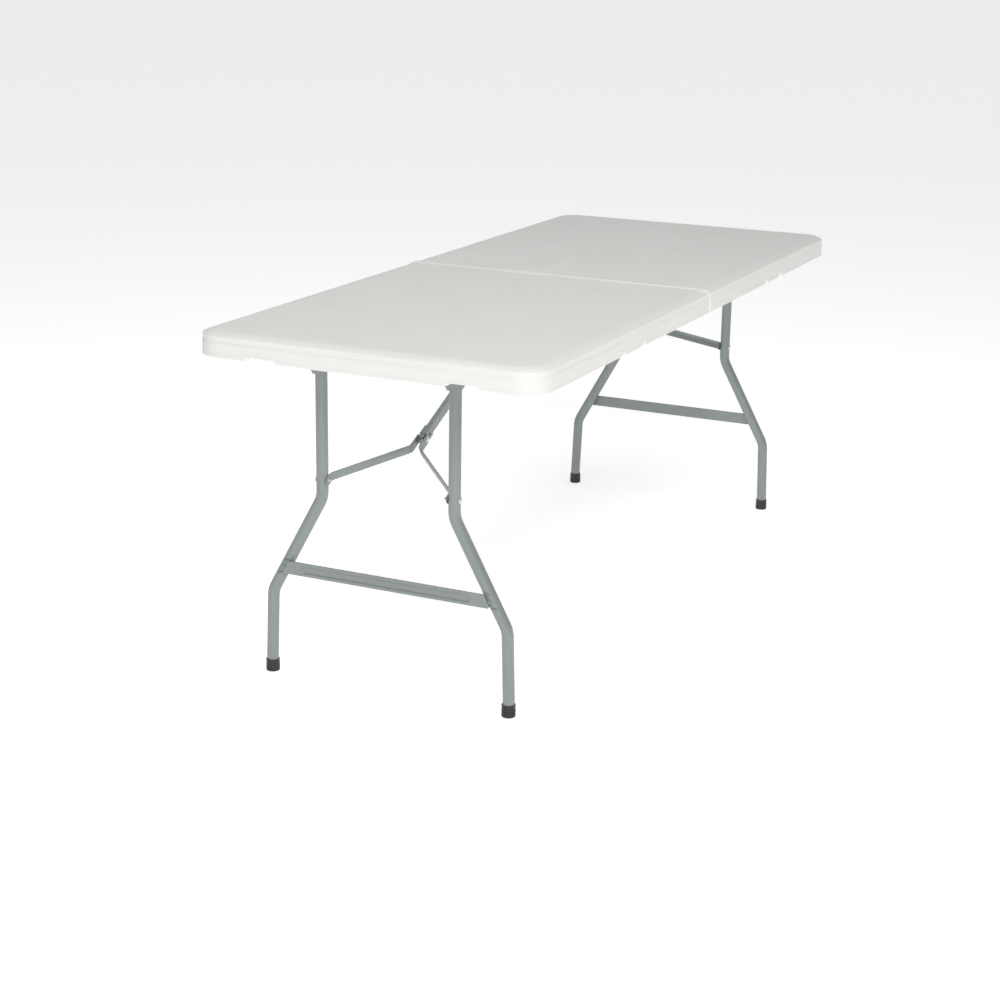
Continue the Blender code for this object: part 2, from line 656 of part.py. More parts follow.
def make_handle(frame):
    """A U-shaped grip that lies inboard of the rim and swings half a turn out past it."""
    axis = empty("handle_axis", (HANDLE_X, HANDLE_Y, HANDLE_Z), frame)
    ends = [HANDLE_X + end * HANDLE_SPAN / 2 for end in (-1, 1)]
    half = HANDLE_ARM / 2
    foot = HANDLE_Y - HANDLE_EYE
    grip_in, grip_out = HANDLE_Y + HANDLE_REACH - GRIP_HALF, HANDLE_Y + HANDLE_REACH + GRIP_HALF
    outline = [
        (ends[0] - half, foot),
        (ends[0] + half, foot),
        (ends[0] + half, grip_in),
        (ends[1] - half, grip_in),
        (ends[1] - half, foot),
        (ends[1] + half, foot),
        (ends[1] + half, grip_out),
        (ends[0] - half, grip_out),
    ]
    bm = prism(bmesh.new(), outline, HANDLE_Z - HANDLE_HALF, HANDLE_Z + HANDLE_HALF, "Z")
    handle = add_part("carry_handle", bm, axis, "plastic")
    low = (ends[0] - half + 0.002, grip_in + 0.001, HANDLE_Z)
    high = (ends[1] + half - 0.002, grip_out - 0.001, HANDLE_Z + GRIP_RISE)
    combine(handle, "handle_grip", box(bmesh.new(), low, high), axis, "UNION")
    reach = half + GAP + STUB_LENGTH
    for k, (x, sign) in enumerate(zip(ends, (-1, 1)), 1):
        edge = x + sign * (half + GAP)
        near, far = sorted((edge, edge + sign * HANDLE_MOUNT_WIDTH))
        low = (near, HANDLE_MOUNT_NEAR, HANDLE_Z - HANDLE_MOUNT_FOOT)
        bm = box(bmesh.new(), low, (far, HANDLE_MOUNT_FAR, CEILING - GAP))
        bracket = add_part(f"handle_bracket_{k}", bm, frame, "plastic")
        place, out = (x, HANDLE_Y, HANDLE_Z), (sign, 0, 0)
        bore = STUB_RADIUS + GAP
        socket = ((0, 0), (bore, 0), (bore, reach + GAP), (0, reach + GAP))
        cut(bracket, f"handle_socket_{k}", turned(socket, 10, place, out), frame)
        stub = ((0, 0), (STUB_RADIUS, 0), (STUB_RADIUS, reach), (0, reach))
        combine(handle, f"handle_stub_{k}", turned(stub, 10, place, out), axis, "UNION")


def make_latches(frame_a, frame_b):
    """Two hooks inside half a's end rim, and the keepers on half b that they catch in the folded table."""
    top, foot = LATCH_Z + LATCH_HALF, LATCH_Z - LATCH_HALF
    root, tip = LATCH_Y + LATCH_HALF, LATCH_Y - LATCH_REACH
    head = LATCH_PLATE + GAP
    for hand, sign in (("left", 1), ("right", -1)):
        axis = empty(f"latch_{hand}_axis", (-LATCH_X, sign * LATCH_Y, LATCH_Z), frame_a)
        outline = [
            (root, top),
            (tip, top),
            (tip, foot - BARB_DROP),
            (tip + BARB_WIDTH, foot - BARB_DROP),
            (tip + BARB_WIDTH, foot),
            (root, foot),
        ]
        outline = [(sign * y, z) for y, z in outline]
        bm = prism(bmesh.new(), outline, -LATCH_X - LATCH_PLATE, -LATCH_X + LATCH_PLATE, "X")
        latch = add_part("latch_" + hand, bm, axis, "plastic")
        place = (-LATCH_X, sign * LATCH_Y, LATCH_Z)
        drill(latch, "latch_hole_" + hand, axis, place, (1, 0, 0), LATCH_PIN + RUN_GAP, PAST)
        profile = (
            (0, -head - 0.0012),
            (LATCH_HEAD, -head - 0.0012),
            (LATCH_HEAD, -head),
            (LATCH_PIN, -head),
            (LATCH_PIN, head),
            (LATCH_HEAD, head),
            (LATCH_HEAD, head + 0.0007),
            (0, head + 0.0007),
        )
        add_part("latch_pin_" + hand, turned(profile, 12, place, (1, 0, 0)), frame_a, "zinc", 0.6)

        # In the folded table the barb lies under the keeper's lip, seen here before folding.
        lip = 2 * HINGE_Z - (LATCH_Z - LATCH_REACH + BARB_WIDTH + KEEPER_START)
        start, end = root + KEEPER_START, root + KEEPER_END
        outline = [
            (start, lip),
            (start, lip - KEEPER_LIP),
            (end, lip - KEEPER_LIP),
            (end, CEILING - GAP),
            (end - KEEPER_WEB, CEILING - GAP),
            (end - KEEPER_WEB, lip),
        ]
        outline = [(sign * y, z) for y, z in outline]
        bm = prism(bmesh.new(), outline, LATCH_X - 0.004, LATCH_X + 0.0038, "X")
        add_part("latch_keeper_" + hand, bm, frame_b, "plastic")


def make_half(tag, side, frame):
    make_top(tag, side, frame)
    make_rails(tag, side, frame)
    legs = make_legs(tag, side, frame)
    make_straps(tag, side, legs)
    make_arm(tag, side, frame)
    make_hinge_leaves(tag, side, frame)


def main():
    clear_scene()
    frame_a = empty("half_a_frame", (0, 0, 0))
    frame_b = empty("centre_hinge_axis", (0, 0, HINGE_Z), frame_a)
    make_half("a", -1, frame_a)
    make_half("b", 1, frame_b)
    make_hinge_pins(frame_a)
    make_handle(frame_a)
    make_latches(frame_a, frame_b)


main()
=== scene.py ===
"""Folding picnic table: the look of every sub-part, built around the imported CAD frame.

Metres, +Z up, the floor at Z = 0 and the table's centre at X = Y = 0. Places come from the boxes of
the CAD nodes. What both halves have is drawn for half b, at +X, and mirrored for half a.
"""

from collections import namedtuple
from math import atan2, cos, pi, radians, sin, sqrt, tan

import bmesh
import bpy
from mathutils import Matrix, Quaternion, Vector


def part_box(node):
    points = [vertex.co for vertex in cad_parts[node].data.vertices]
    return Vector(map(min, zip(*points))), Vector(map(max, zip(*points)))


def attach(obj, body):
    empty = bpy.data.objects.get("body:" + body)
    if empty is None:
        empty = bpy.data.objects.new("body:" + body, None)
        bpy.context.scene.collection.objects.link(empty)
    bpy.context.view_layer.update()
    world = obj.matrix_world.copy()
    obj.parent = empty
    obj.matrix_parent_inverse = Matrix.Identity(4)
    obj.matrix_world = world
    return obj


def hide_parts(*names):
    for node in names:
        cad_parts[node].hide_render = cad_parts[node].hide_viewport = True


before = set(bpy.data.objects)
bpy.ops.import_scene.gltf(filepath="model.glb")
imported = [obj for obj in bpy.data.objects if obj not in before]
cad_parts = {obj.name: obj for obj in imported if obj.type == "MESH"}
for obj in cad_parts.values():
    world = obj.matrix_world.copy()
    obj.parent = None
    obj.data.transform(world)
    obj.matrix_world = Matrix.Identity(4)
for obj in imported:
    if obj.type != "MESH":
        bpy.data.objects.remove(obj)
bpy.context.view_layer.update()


def middle(node):
    low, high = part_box(node)
    return (low + high) / 2


def on_axis(node):
    """A node's middle, moved sideways onto the table's long axis."""
    at = middle(node)
    at.y = 0
    return at


def y_ends(node):
    """How near and how far from the table's long axis a node reaches."""
    low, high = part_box(node)
    return sorted((abs(low.y), abs(high.y)))


HALVES = (("a", -1), ("b", 1))
HANDS = (("left", 1), ("right", -1))
X_AXIS, Y_AXIS, Z_AXIS = Vector((1, 0, 0)), Vector((0, 1, 0)), Vector((0, 0, 1))
GAP = 0.0003  # between pieces that touch
SMOOTH_BELOW = 0.7  # in radians: an edge that turns by more is drawn sharp

# Top halves
top_low, top_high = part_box("top_half_b")
SEAM_X, END_X, SIDE_Y = top_low.x, top_high.x, top_high.y
RIM_FOOT, TABLE_TOP = top_low.z, top_high.z
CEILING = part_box("brace_bracket_b")[1].z + GAP  # the underside of the top, inside the rim
RIM, RIM_DRAFT = 0.022, 0.003  # width of the rim at its foot, and how much wider it is at the ceiling
OUTER_CORNER, SEAM_CORNER, LEAST_CORNER = 0.058, 0.010, 0.004  # radii seen from above
SEAM_ROUND = 0.011  # radius of the edge along the seam
ROLL_WIDTH, ROLL_DROP = 0.028, 0.0068  # how the top rolls down to its edge line
BAND = 0.0125  # height of the plain band under the edge line
WALL_INSET, BAND_INSET = 0.0008, 0.0020  # of the skirt's wall and of that band, from the foot's lip
LIP = 0.0060  # height of the lip round the rim's foot
LIP_BLEND = 0.0015  # height over which the lip and the band meet the wall
FOOT_ROUND = 0.003
CEILING_FILLET = 0.005
OUTLINE_STEP = 0.006  # between points along a straight side
POCKET_PITCH, POCKET_RADIUS, POCKET_DEPTH = 0.070, 0.0125, 0.0115
POCKET_COLUMNS, POCKET_ROWS = 12, 8
POCKET_START = 1.05  # pitches from the seam to the first column

# Carry handle and latches
handle_low, handle_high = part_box("carry_handle")
STUB_REACH = 0.0133  # from the middle of a handle arm to the end of its stub
HANDLE_ARMS = (handle_low.x + STUB_REACH, handle_high.x - STUB_REACH)
LATCH_Y = middle("latch_pin_left").y

# Notches in the rim's foot, by side. blend is the length of a notch's end, drawn in points a step apart
Notch = namedtuple("Notch", "middles half rise blend step")
SLOT_Y = 0.319  # of the slots that clear the centre hinges
NOTCHES = {
    "end": Notch(middles=(-LATCH_Y, LATCH_Y), half=0.033, rise=0.007, blend=0.008, step=0.001),
    "seam": Notch(middles=(-SLOT_Y, SLOT_Y), half=0.0055, rise=0.022, blend=0.001, step=0.00025),
    "right": Notch(middles=[-x for x in HANDLE_ARMS], half=0.011, rise=0.008, blend=0.004, step=0.0005),
}

# Rails and leg frames
RAIL_SCREWS = (0.14, 0.36, 0.58, 0.76)  # X of the screws along a rail
WALL = 0.0012  # of the rails and the tubes
PIVOT = on_axis("pivot_tube_b")
PIVOT_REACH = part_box("pivot_tube_b")[1].y
LEG_RADIUS = PIVOT.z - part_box("pivot_tube_b")[0].z
NECK_Y, NECK_Z = middle("leg_gusset_b_left").y, 0.392
KNEE_Y, KNEE_Z = 0.2655, 0.178
FOOT_Y = middle("foot_cap_b_left").y
CAP_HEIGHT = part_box("foot_cap_b_left")[1].z
ANKLE_Z = 0.035
LEG_END = 0.005  # the tube's end, inside the foot cap
BEND_RADIUS = 0.055
BEND_STEP = 0.05  # most turn between two rings of a bend, in radians
TUBE_SIDES = 40

# Folding brace: strap pivot Q on the leg, knuckle K and arm pivot U under the top, all at Y = 0
Q, K, U = on_axis("brace_bolt_b_left"), middle("knuckle_pin_b"), on_axis("bracket_pin_b")
ALONG = (U - Q).normalized()
SQUARE = Y_AXIS.cross(ALONG)
STRAP_LENGTH, BRACE_LENGTH = (K - Q).length, (U - Q).length
BRACE_HALF = 0.0095
STRAP_THICK = 0.0024
STRAP_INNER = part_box("brace_strap_b_left")[0].y
STRAP_FOLD = 0.0018  # depth of the stiffening fold
FOLD_START, FOLD_BLEND = 0.016, 0.020  # where the fold begins and how long it takes to rise
TAB_LENGTH = 0.034  # of each strap's straight end, before the knuckle
KNUCKLE_REACH = 0.008  # of a strap's round end, past the knuckle
ARM_HALF, ARM_WALL = 0.0055, 0.0018
COLLAR_LENGTH = 0.026
COLLAR_START, ARM_STOP, ARM_HOLES = 0.006, 0.098, (0.068, 0.140, 0.300, 0.400)  # from the knuckle

# Centre hinge
HINGE = middle("hinge_pin_left")
EYE_RADIUS = 0.0075
LEAF_THICK = 0.0025
LEAF_FOOT, LEAF_TOP = 0.6905, 0.7085
LEAF_NECK, LEAF_END = 0.030, 0.115  # X where the leaf narrows to its eye, and of its far end
LEAF_CHAMFER = 0.0025
LEAF_RIVETS, RIVET_Z = (0.056, 0.078, 0.100), 0.6995  # X of the rivets, and their height


# Materials


def noise(tree, place, scale, detail):
    node = tree.nodes.new("ShaderNodeTexNoise")
    node.inputs["Scale"].default_value = scale
    node.inputs["Detail"].default_value = detail
    tree.links.new(place.outputs["Object"], node.inputs["Vector"])
    return node.outputs["Fac"]


def mixed(tree, share, one, two):
    """A colour that share, an output from 0 to 1, moves from one to two."""
    node = tree.nodes.new("ShaderNodeMix")
    node.data_type = "RGBA"
    tree.links.new(share, node.inputs["Factor"])
    colour_inputs = [socket for socket in node.inputs if socket.type == "RGBA"]
    for socket, colour in zip(colour_inputs, (one, two)):
        socket.default_value = (*colour, 1)
    return next(socket for socket in node.outputs if socket.type == "RGBA")


def spread(tree, source, low, high, start=0.35, end=0.65):
    """source stretched to run from low to high as it goes from start to end, usually a noise's ends."""
    node = tree.nodes.new("ShaderNodeMapRange")
    settings = (("From Min", start), ("From Max", end), ("To Min", low), ("To Max", high))
    for name, value in settings:
        node.inputs[name].default_value = value
    tree.links.new(source, node.inputs["Value"])
    return node.outputs["Result"]


def weighted_sum(tree, parts):
    """The sum of the (output, weight) parts."""
    total = None
    for source, weight in parts:
        node = tree.nodes.new("ShaderNodeMath")
        node.operation = "MULTIPLY_ADD"
        node.inputs[1].default_value = weight
        node.inputs[2].default_value = 0
        tree.links.new(source, node.inputs[0])
        if total is not None:
            tree.links.new(total, node.inputs[2])
        total = node.outputs[0]
    return total


def finish(name, colour, shade, roughness, grain, depth, broad=7.0, **sockets):
    """A material with broad colour and roughness changes and a fine bump.

    shade is the second colour and roughness has two ends. broad and grain say how many clouds and how
    many bumps there are per metre, and depth is the bumps' height in metres. sockets sets any other
    input of the shader.
    """
    made = bpy.data.materials.new(name)
    made.use_nodes = True
    tree = made.node_tree
    links = tree.links
    shader = tree.nodes["Principled BSDF"]
    for socket, value in sockets.items():
        shader.inputs[socket.replace("_", " ")].default_value = value

    place = tree.nodes.new("ShaderNodeTexCoord")
    cloud = noise(tree, place, broad, detail=4.0)
    links.new(mixed(tree, spread(tree, cloud, 0, 1), colour, shade), shader.inputs["Base Color"])
    rub = noise(tree, place, broad * 5, detail=5.0)
    links.new(spread(tree, rub, *roughness), shader.inputs["Roughness"])

    fine, coarse = noise(tree, place, grain, detail=3.0), noise(tree, place, grain / 4, detail=2.0)
    bump = tree.nodes.new("ShaderNodeBump")
    bump.inputs["Strength"].default_value = 1.0
    bump.inputs["Distance"].default_value = depth
    links.new(weighted_sum(tree, ((fine, 0.75), (coarse, 0.25))), bump.inputs["Height"])
    links.new(bump.outputs["Normal"], shader.inputs["Normal"])
    return made


# Each look's material slot and material
LOOKS = {}
LOOKS["top"] = "top_plastic", finish(
    "moulded_top",
    colour=(0.775, 0.770, 0.750),
    shade=(0.760, 0.755, 0.733),
    roughness=(0.40, 0.50),
    grain=900,
    depth=0.00008,
)
LOOKS["steel"] = "painted_steel", finish(
    "grey_powder_coat",
    colour=(0.258, 0.288, 0.283),
    shade=(0.245, 0.274, 0.269),
    roughness=(0.34, 0.42),
    grain=700,
    depth=0.000012,
    Metallic=0.2,
    Specular_IOR_Level=0.35,
)
LOOKS["zinc"] = "zinc_steel", finish(
    "zinc_plate",
    colour=(0.66, 0.67, 0.67),
    shade=(0.54, 0.56, 0.58),
    roughness=(0.22, 0.40),
    grain=1500,
    depth=0.00003,
    broad=90,
    Metallic=1.0,
)
LOOKS["foot"] = "foot_plastic", finish(
    "black_foot",
    colour=(0.018, 0.018, 0.020),
    shade=(0.028, 0.028, 0.030),
    roughness=(0.42, 0.60),
    grain=2500,
    depth=0.00010,
)
LOOKS["fitting"] = "fittings_plastic", finish(
    "moulded_fitting",
    colour=(0.70, 0.70, 0.68),
    shade=(0.66, 0.66, 0.64),
    roughness=(0.34, 0.46),
    grain=1600,
    depth=0.00008,
)


# Mesh tools


def mirrored(bm, side):
    """side is 1 for half b and -1 for half a."""
    if side < 0:
        bmesh.ops.scale(bm, vec=(-1, 1, 1), verts=bm.verts)
    return bm


def plain_object(name, bm):
    bmesh.ops.recalc_face_normals(bm, faces=bm.faces)
    mesh = bpy.data.meshes.new(name)
    bm.to_mesh(mesh)
    bm.free()
    obj = bpy.data.objects.new(name, mesh)
    bpy.context.scene.collection.objects.link(obj)
    return obj


def combined(bm, shapes, operation):
    """A Boolean operation on bm with each of the shapes in turn, as a new bmesh."""
    obj = plain_object("work", bm)
    helpers = []
    for shape in shapes:
        tool = plain_object("tool", shape)
        helpers.append(tool)
        modifier = obj.modifiers.new(operation, "BOOLEAN")
        modifier.object = tool
        modifier.operation = operation
        modifier.solver = "EXACT"
    graph = bpy.context.evaluated_depsgraph_get()
    done = bmesh.new()
    done.from_object(obj, graph)
    for used in [obj, *helpers]:
        bpy.data.objects.remove(used, do_unlink=True)
    return done


def cut(bm, *shapes):
    return combined(bm, shapes, "DIFFERENCE")


def fused(bm, *shapes):
    return combined(bm, shapes, "UNION")


def add_piece(name, bm, body, look, nodes=()):
    """Makes the piece, which rides on body and stands for the given CAD nodes."""
    obj = plain_object(name, bm)
    obj.data.shade_smooth()
    obj.data.set_sharp_from_angle(angle=SMOOTH_BELOW)
    slot, material = LOOKS[look]
    obj.data.materials.append(material)
    weighted = obj.modifiers.new("flat_faces_stay_flat", "WEIGHTED_NORMAL")
    weighted.keep_sharp = True
    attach(obj, body)
    if nodes:
        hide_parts(*nodes)


def arc(centre, radius, start, end, steps):
    """Points on an arc, in a plane, from start to end in radians."""
    turn = (end - start) / steps
    return [
        (centre[0] + radius * cos(start + turn * i), centre[1] + radius * sin(start + turn * i))
        for i in range(steps + 1)
    ]


def circle(radius, sides=TUBE_SIDES):
    return [(radius * cos(2 * pi * k / sides), radius * sin(2 * pi * k / sides)) for k in range(sides)]


def rounded_box(x0, x1, y0, y1, radius, steps=4):
    return (
        arc((x1 - radius, y1 - radius), radius, 0, pi / 2, steps)
        + arc((x0 + radius, y1 - radius), radius, pi / 2, pi, steps)
        + arc((x0 + radius, y0 + radius), radius, pi, 3 * pi / 2, steps)
        + arc((x1 - radius, y0 + radius), radius, 3 * pi / 2, 2 * pi, steps)
    )


def soften(bm, width):
    """Rounds every edge that turns by more than about 34 degrees."""
    sharp = 0.6
    edges = [e for e in bm.edges if len(e.link_faces) == 2 and e.calc_face_angle(0) > sharp]
    bmesh.ops.bevel(
        bm, geom=edges, offset=width, segments=2, profile=0.5, affect="EDGES", clamp_overlap=True
    )
    return bm


def lofted(outlines, edge=0.0, closed=False):
    """A solid with quads between neighbouring outlines of points, and its edges rounded.

    It is filled in at both ends, or closed joins the last outline to the first.
    """
    bm = bmesh.new()
    rings = [[bm.verts.new(point) for point in outline] for outline in outlines]
    following = rings[1:] + rings[:1] if closed else rings[1:]
    count = len(rings[0])
    for one, two in zip(rings, following):
        for i in range(count):
            j = (i + 1) % count
            bm.faces.new((one[i], one[j], two[j], two[i]))
    if not closed:
        bm.faces.new(rings[0])
        bm.faces.new(rings[-1])
    bmesh.ops.recalc_face_normals(bm, faces=bm.faces)
    return soften(bm, edge) if edge else bm


def prism(outline, start, end, axis, edge=0.0):
    """Extrudes a flat outline along axis. Its points are the other two coordinates, in X, Y, Z order."""
    places = {
        "X": lambda point, along: (along, *point),
        "Y": lambda point, along: (point[0], along, point[1]),
        "Z": lambda point, along: (*point, along),
    }
    place = places[axis]
    return lofted([[place(point, along) for point in outline] for along in (start, end)], edge)


def brace_place(u, y, h):
    """A point of half b's brace: u runs from the strap pivot to the arm pivot, h is square to it."""
    return Q + ALONG * u + Y_AXIS * y + SQUARE * h


def brace_prism(outline, y0, y1, edge=0.0):
    """Extrudes an outline in (u, h) across Y."""
    return lofted([[brace_place(u, y, h) for u, h in outline] for y in (y0, y1)], edge)


def turned(profile, at, axis, sides=32, bm=None):
    """Turns a (radius, height) outline, with both its ends at radius 0, about axis through at.

    The solid is added to bm, where there is one.
    """
    shape = bmesh.new()
    rings = []
    for radius, height in profile:
        if radius == 0:
            rings.append([shape.verts.new((0, 0, height))])
        else:
            rings.append([shape.verts.new((x, y, height)) for x, y in circle(radius, sides)])
    for one, two in zip(rings, rings[1:]):
        for i in range(sides):
            j = (i + 1) % sides
            corners = [one[i % len(one)], one[j % len(one)], two[j % len(two)], two[i % len(two)]]
            shape.faces.new(list(dict.fromkeys(corners)))
    turn = Z_AXIS.rotation_difference(Vector(axis)).to_matrix().to_4x4()
    bmesh.ops.transform(shape, matrix=Matrix.Translation(at) @ turn, verts=shape.verts)
    return shape if bm is None else merge(bm, shape)


def merge(bm, shape):
    """Adds shape's faces to bm as a body of their own."""
    mesh = bpy.data.meshes.new("merged")
    shape.to_mesh(mesh)
    shape.free()
    bm.from_mesh(mesh)
    bpy.data.meshes.remove(mesh)
    return bm


def rod(radius, start, end):
    """The (radius, height) outline of a plain cylinder."""
    return [(0, start), (radius, start), (radius, end), (0, end)]


def dome(radius, height, base, rim):
    """The (radius, height) outline of a low dome on a straight rim."""
    foot = base + rim
    quarter = [k * pi / 12 for k in range(6)]
    curve = [(radius * cos(turn), foot + height * sin(turn)) for turn in quarter]
    return [(0, base), (radius, base), *curve, (0, foot + height)]


def rounded_path(points, radius):
    """A polyline in a plane with its inner corners turned into arcs of the given radius."""
    path = [Vector(points[0])]
    for before, corner, after in zip(points, points[1:], points[2:]):
        before, corner, after = Vector(before), Vector(corner), Vector(after)
        way_in, way_out = (corner - before).normalized(), (after - corner).normalized()
        bend = way_in.angle(way_out)
        centre = corner + (way_out - way_in).normalized() * radius / cos(bend / 2)
        first = corner - way_in * radius * tan(bend / 2) - centre
        axis = way_in.cross(way_out).normalized()
        steps = max(1, round(bend / BEND_STEP))
        for i in range(steps + 1):
            path.append(centre + Matrix.Rotation(bend * i / steps, 3, axis) @ first)
    path.append(Vector(points[-1]))
    return path


def filled_in(path, step):
    """The path with more points, none further apart than about step."""
    fine = [path[0]]
    for one, two in zip(path, path[1:]):
        count = max(1, round((two - one).length / step))
        fine += [one.lerp(two, i / count) for i in range(1, count + 1)]
    return fine


def swept(path, across, section):
    """Sweeps a section along a flat path. across is square to the path's plane.

    section(done, left) gives the outline as (sideways, across) points, from the path before and after.
    """
    lengths = [0.0]
    for one, two in zip(path, path[1:]):
        lengths.append(lengths[-1] + (two - one).length)
    outlines = []
    for i, point in enumerate(path):
        before, after = path[max(i - 1, 0)], path[min(i + 1, len(path) - 1)]
        sideways = across.cross((after - before).normalized()).normalized()
        outline = section(lengths[i], lengths[-1] - lengths[i])
        outlines.append([point + sideways * a + across * b for a, b in outline])
    return lofted(outlines)


def weld_bead(path, across, radius):
    """A small rippled bead of weld along a path."""
    ripple, swell = 0.0022, 0.16  # length and share of one ripple

    def section(done, left):
        end = sqrt(max(0.08, min(1, done / radius, left / radius)))
        return circle(radius * (1 + swell * cos(2 * pi * done / ripple)) * end, 12)

    return swept(filled_in(path, ripple / 4), across, section)


# The top


def smooth_step(t):
    t = min(max(t, 0), 1)
    return t * t * (3 - 2 * t)


def foot_lift(side, along):
    """How far the rim's foot is raised at a place along one of the top's four sides."""
    if side not in NOTCHES:
        return 0.0
    notch = NOTCHES[side]
    depth = max(notch.half - abs(along - at) for at in notch.middles)
    return notch.rise * smooth_step(depth / notch.blend + 0.5)


def side_stations(side, low, high):
    """Places along a straight side, closer together at the ends of its notches."""
    count = round((high - low) / OUTLINE_STEP)
    places = {low + (high - low) * i / count for i in range(count + 1)}
    if side in NOTCHES:
        notch = NOTCHES[side]
        ends = [at + way * notch.half for at in notch.middles for way in (-1, 1)]
        places |= {end + k * notch.step for end in ends for k in range(-6, 7)}
    ordered = sorted(places)
    least = 0.0002  # between neighbours
    kept = ordered[:1]
    for place in ordered[1:]:
        if place - kept[-1] > least:
            kept.append(place)
    return kept


def outline_spots():
    """The outline's points, counter-clockwise, each as (side or corner, normal's angle, place).

    The place is one coordinate along a side, and the signs of X and Y at a corner.
    """
    clear = OUTER_CORNER + 0.001  # room for a corner's arc
    end_reach, far = SIDE_Y - clear, END_X - clear
    near = SEAM_X + 0.040
    seam_reach = SIDE_Y - RIM - RIM_DRAFT - CEILING_FILLET - LEAST_CORNER - 0.004
    steps = 12
    quarter = [i * pi / 2 / steps for i in range(steps + 1)]
    spots = [("end", 0, y) for y in side_stations("end", -end_reach, end_reach)]
    spots += [("corner", turn, (1, 1)) for turn in quarter]
    spots += [("left", pi / 2, x) for x in reversed(side_stations("left", near, far))]
    spots += [("corner", pi / 2 + turn, (-1, 1)) for turn in quarter]
    spots += [("seam", pi, y) for y in reversed(side_stations("seam", -seam_reach, seam_reach))]
    spots += [("corner", pi + turn, (-1, -1)) for turn in quarter]
    spots += [("right", 3 * pi / 2, x) for x in side_stations("right", near, far)]
    spots += [("corner", 3 * pi / 2 + turn, (1, -1)) for turn in quarter]
    return spots


def spot_place(spot, inset):
    """(x, y) of a spot of the outline, moved inwards by inset."""
    kind, angle, where = spot
    if kind == "end":
        return END_X - inset, where
    if kind == "seam":
        return SEAM_X + inset, where
    if kind in ("left", "right"):
        return where, (SIDE_Y - inset) * (1 if kind == "left" else -1)
    out, hand = where
    radius = max((OUTER_CORNER if out > 0 else SEAM_CORNER) - inset, LEAST_CORNER)
    x = END_X - inset - radius if out > 0 else SEAM_X + inset + radius
    y = hand * (SIDE_Y - inset - radius)
    return x + radius * cos(angle), y + radius * sin(angle)


def skirt_profile():
    """(inset, z) up a lipped wall and a plain band to the edge line, and from there onto the top."""
    lip_top, edge = RIM_FOOT + LIP, TABLE_TOP - ROLL_DROP
    band_foot = edge - BAND
    nick = 0.0010  # size of the edge line's own rounding
    profile = [
        (0, lip_top),
        (WALL_INSET, lip_top + LIP_BLEND),
        (WALL_INSET, band_foot - LIP_BLEND),
        (BAND_INSET, band_foot),
        (BAND_INSET, edge - nick),
        (BAND_INSET + 0.3 * nick, edge - 0.3 * nick),
        (BAND_INSET + nick, edge),
    ]
    steps = 8
    for i in range(1, steps + 1):
        t = i / steps
        profile.append((BAND_INSET + nick + ROLL_WIDTH * t, TABLE_TOP - ROLL_DROP * (1 - t) ** 2))
    profile.append((BAND_INSET + 3 * nick + ROLL_WIDTH, TABLE_TOP))
    return profile


def seam_profile():
    """(inset, z) up a plain wall and round its edge, with as many points as skirt_profile."""
    foot, start = RIM_FOOT + LIP, TABLE_TOP - SEAM_ROUND
    profile = [(0, foot + (start - foot) * i / 5) for i in range(5)]
    profile += arc((SEAM_ROUND, start), SEAM_ROUND, pi, pi / 2, 9)
    profile.append((SEAM_ROUND + 0.002, TABLE_TOP))
    return profile


def rim_profile(seam):
    """(inset, z) from the underside round the rim's foot and up onto the top.

    seam is 1 along the seam, 0 along the other sides and between them round the seam's corners.
    """
    inner, fillet, foot = RIM + RIM_DRAFT, CEILING_FILLET, FOOT_ROUND
    profile = [(inner + fillet + 0.003, CEILING)]
    profile += arc((inner + fillet, CEILING - fillet), fillet, pi / 2, pi, 5)
    profile += arc((RIM - foot, RIM_FOOT + foot), foot, 0, -pi / 2, 4)
    profile += arc((foot, RIM_FOOT + foot), foot, -pi / 2, -pi, 4)
    for (side_in, side_z), (seam_in, seam_z) in zip(skirt_profile(), seam_profile()):
        profile.append((side_in + (seam_in - side_in) * seam, side_z + (seam_z - side_z) * seam))
    return profile


def moulded_pockets():
    """The shapes that press the pattern of round pockets into the underside."""
    lip, floor, overlap = 0.003, 0.004, 0.003  # radii at mouth and floor, and reach past the face
    mouth, narrow = POCKET_RADIUS + lip, POCKET_RADIUS - 0.003
    profile = [(0, CEILING - overlap), (mouth, CEILING - overlap)]
    profile += arc((mouth, CEILING + lip), lip, -pi / 2, -pi, 4)
    profile += arc((narrow - floor, CEILING + POCKET_DEPTH - floor), floor, 0, pi / 2, 4)
    profile.append((0, CEILING + POCKET_DEPTH))
    pockets = bmesh.new()
    for column in range(POCKET_COLUMNS):
        x = SEAM_X + (column + POCKET_START) * POCKET_PITCH
        for row in range(POCKET_ROWS):
            y = (row - (POCKET_ROWS - 1) / 2) * POCKET_PITCH
            turned(profile, (x, y, 0), Z_AXIS, 24, pockets)
    return pockets


def make_panel_mesh():
    """One half of the top, with its hollow rim, notches and the moulded pockets of its underside."""
    columns = []
    lifted_below = CEILING - CEILING_FILLET
    for spot in outline_spots():
        side, angle, where = spot
        lift = foot_lift(side, where)
        column = []
        for inset, z in rim_profile(seam=max(0.0, -cos(angle)) ** 2):
            x, y = spot_place(spot, inset)
            if z < lifted_below:
                z += lift * (lifted_below - z) / (lifted_below - RIM_FOOT)
            column.append((x, y, z))
        columns.append(column)
    return cut(lofted(zip(*columns)), moulded_pockets())


def make_tops():
    panel = make_panel_mesh()
    for tag, side in HALVES:
        half = mirrored(panel.copy(), side)
        add_piece("top_panel_" + tag, half, "half_" + tag, "top", ["top_half_" + tag])
    panel.free()


# What hangs under the top


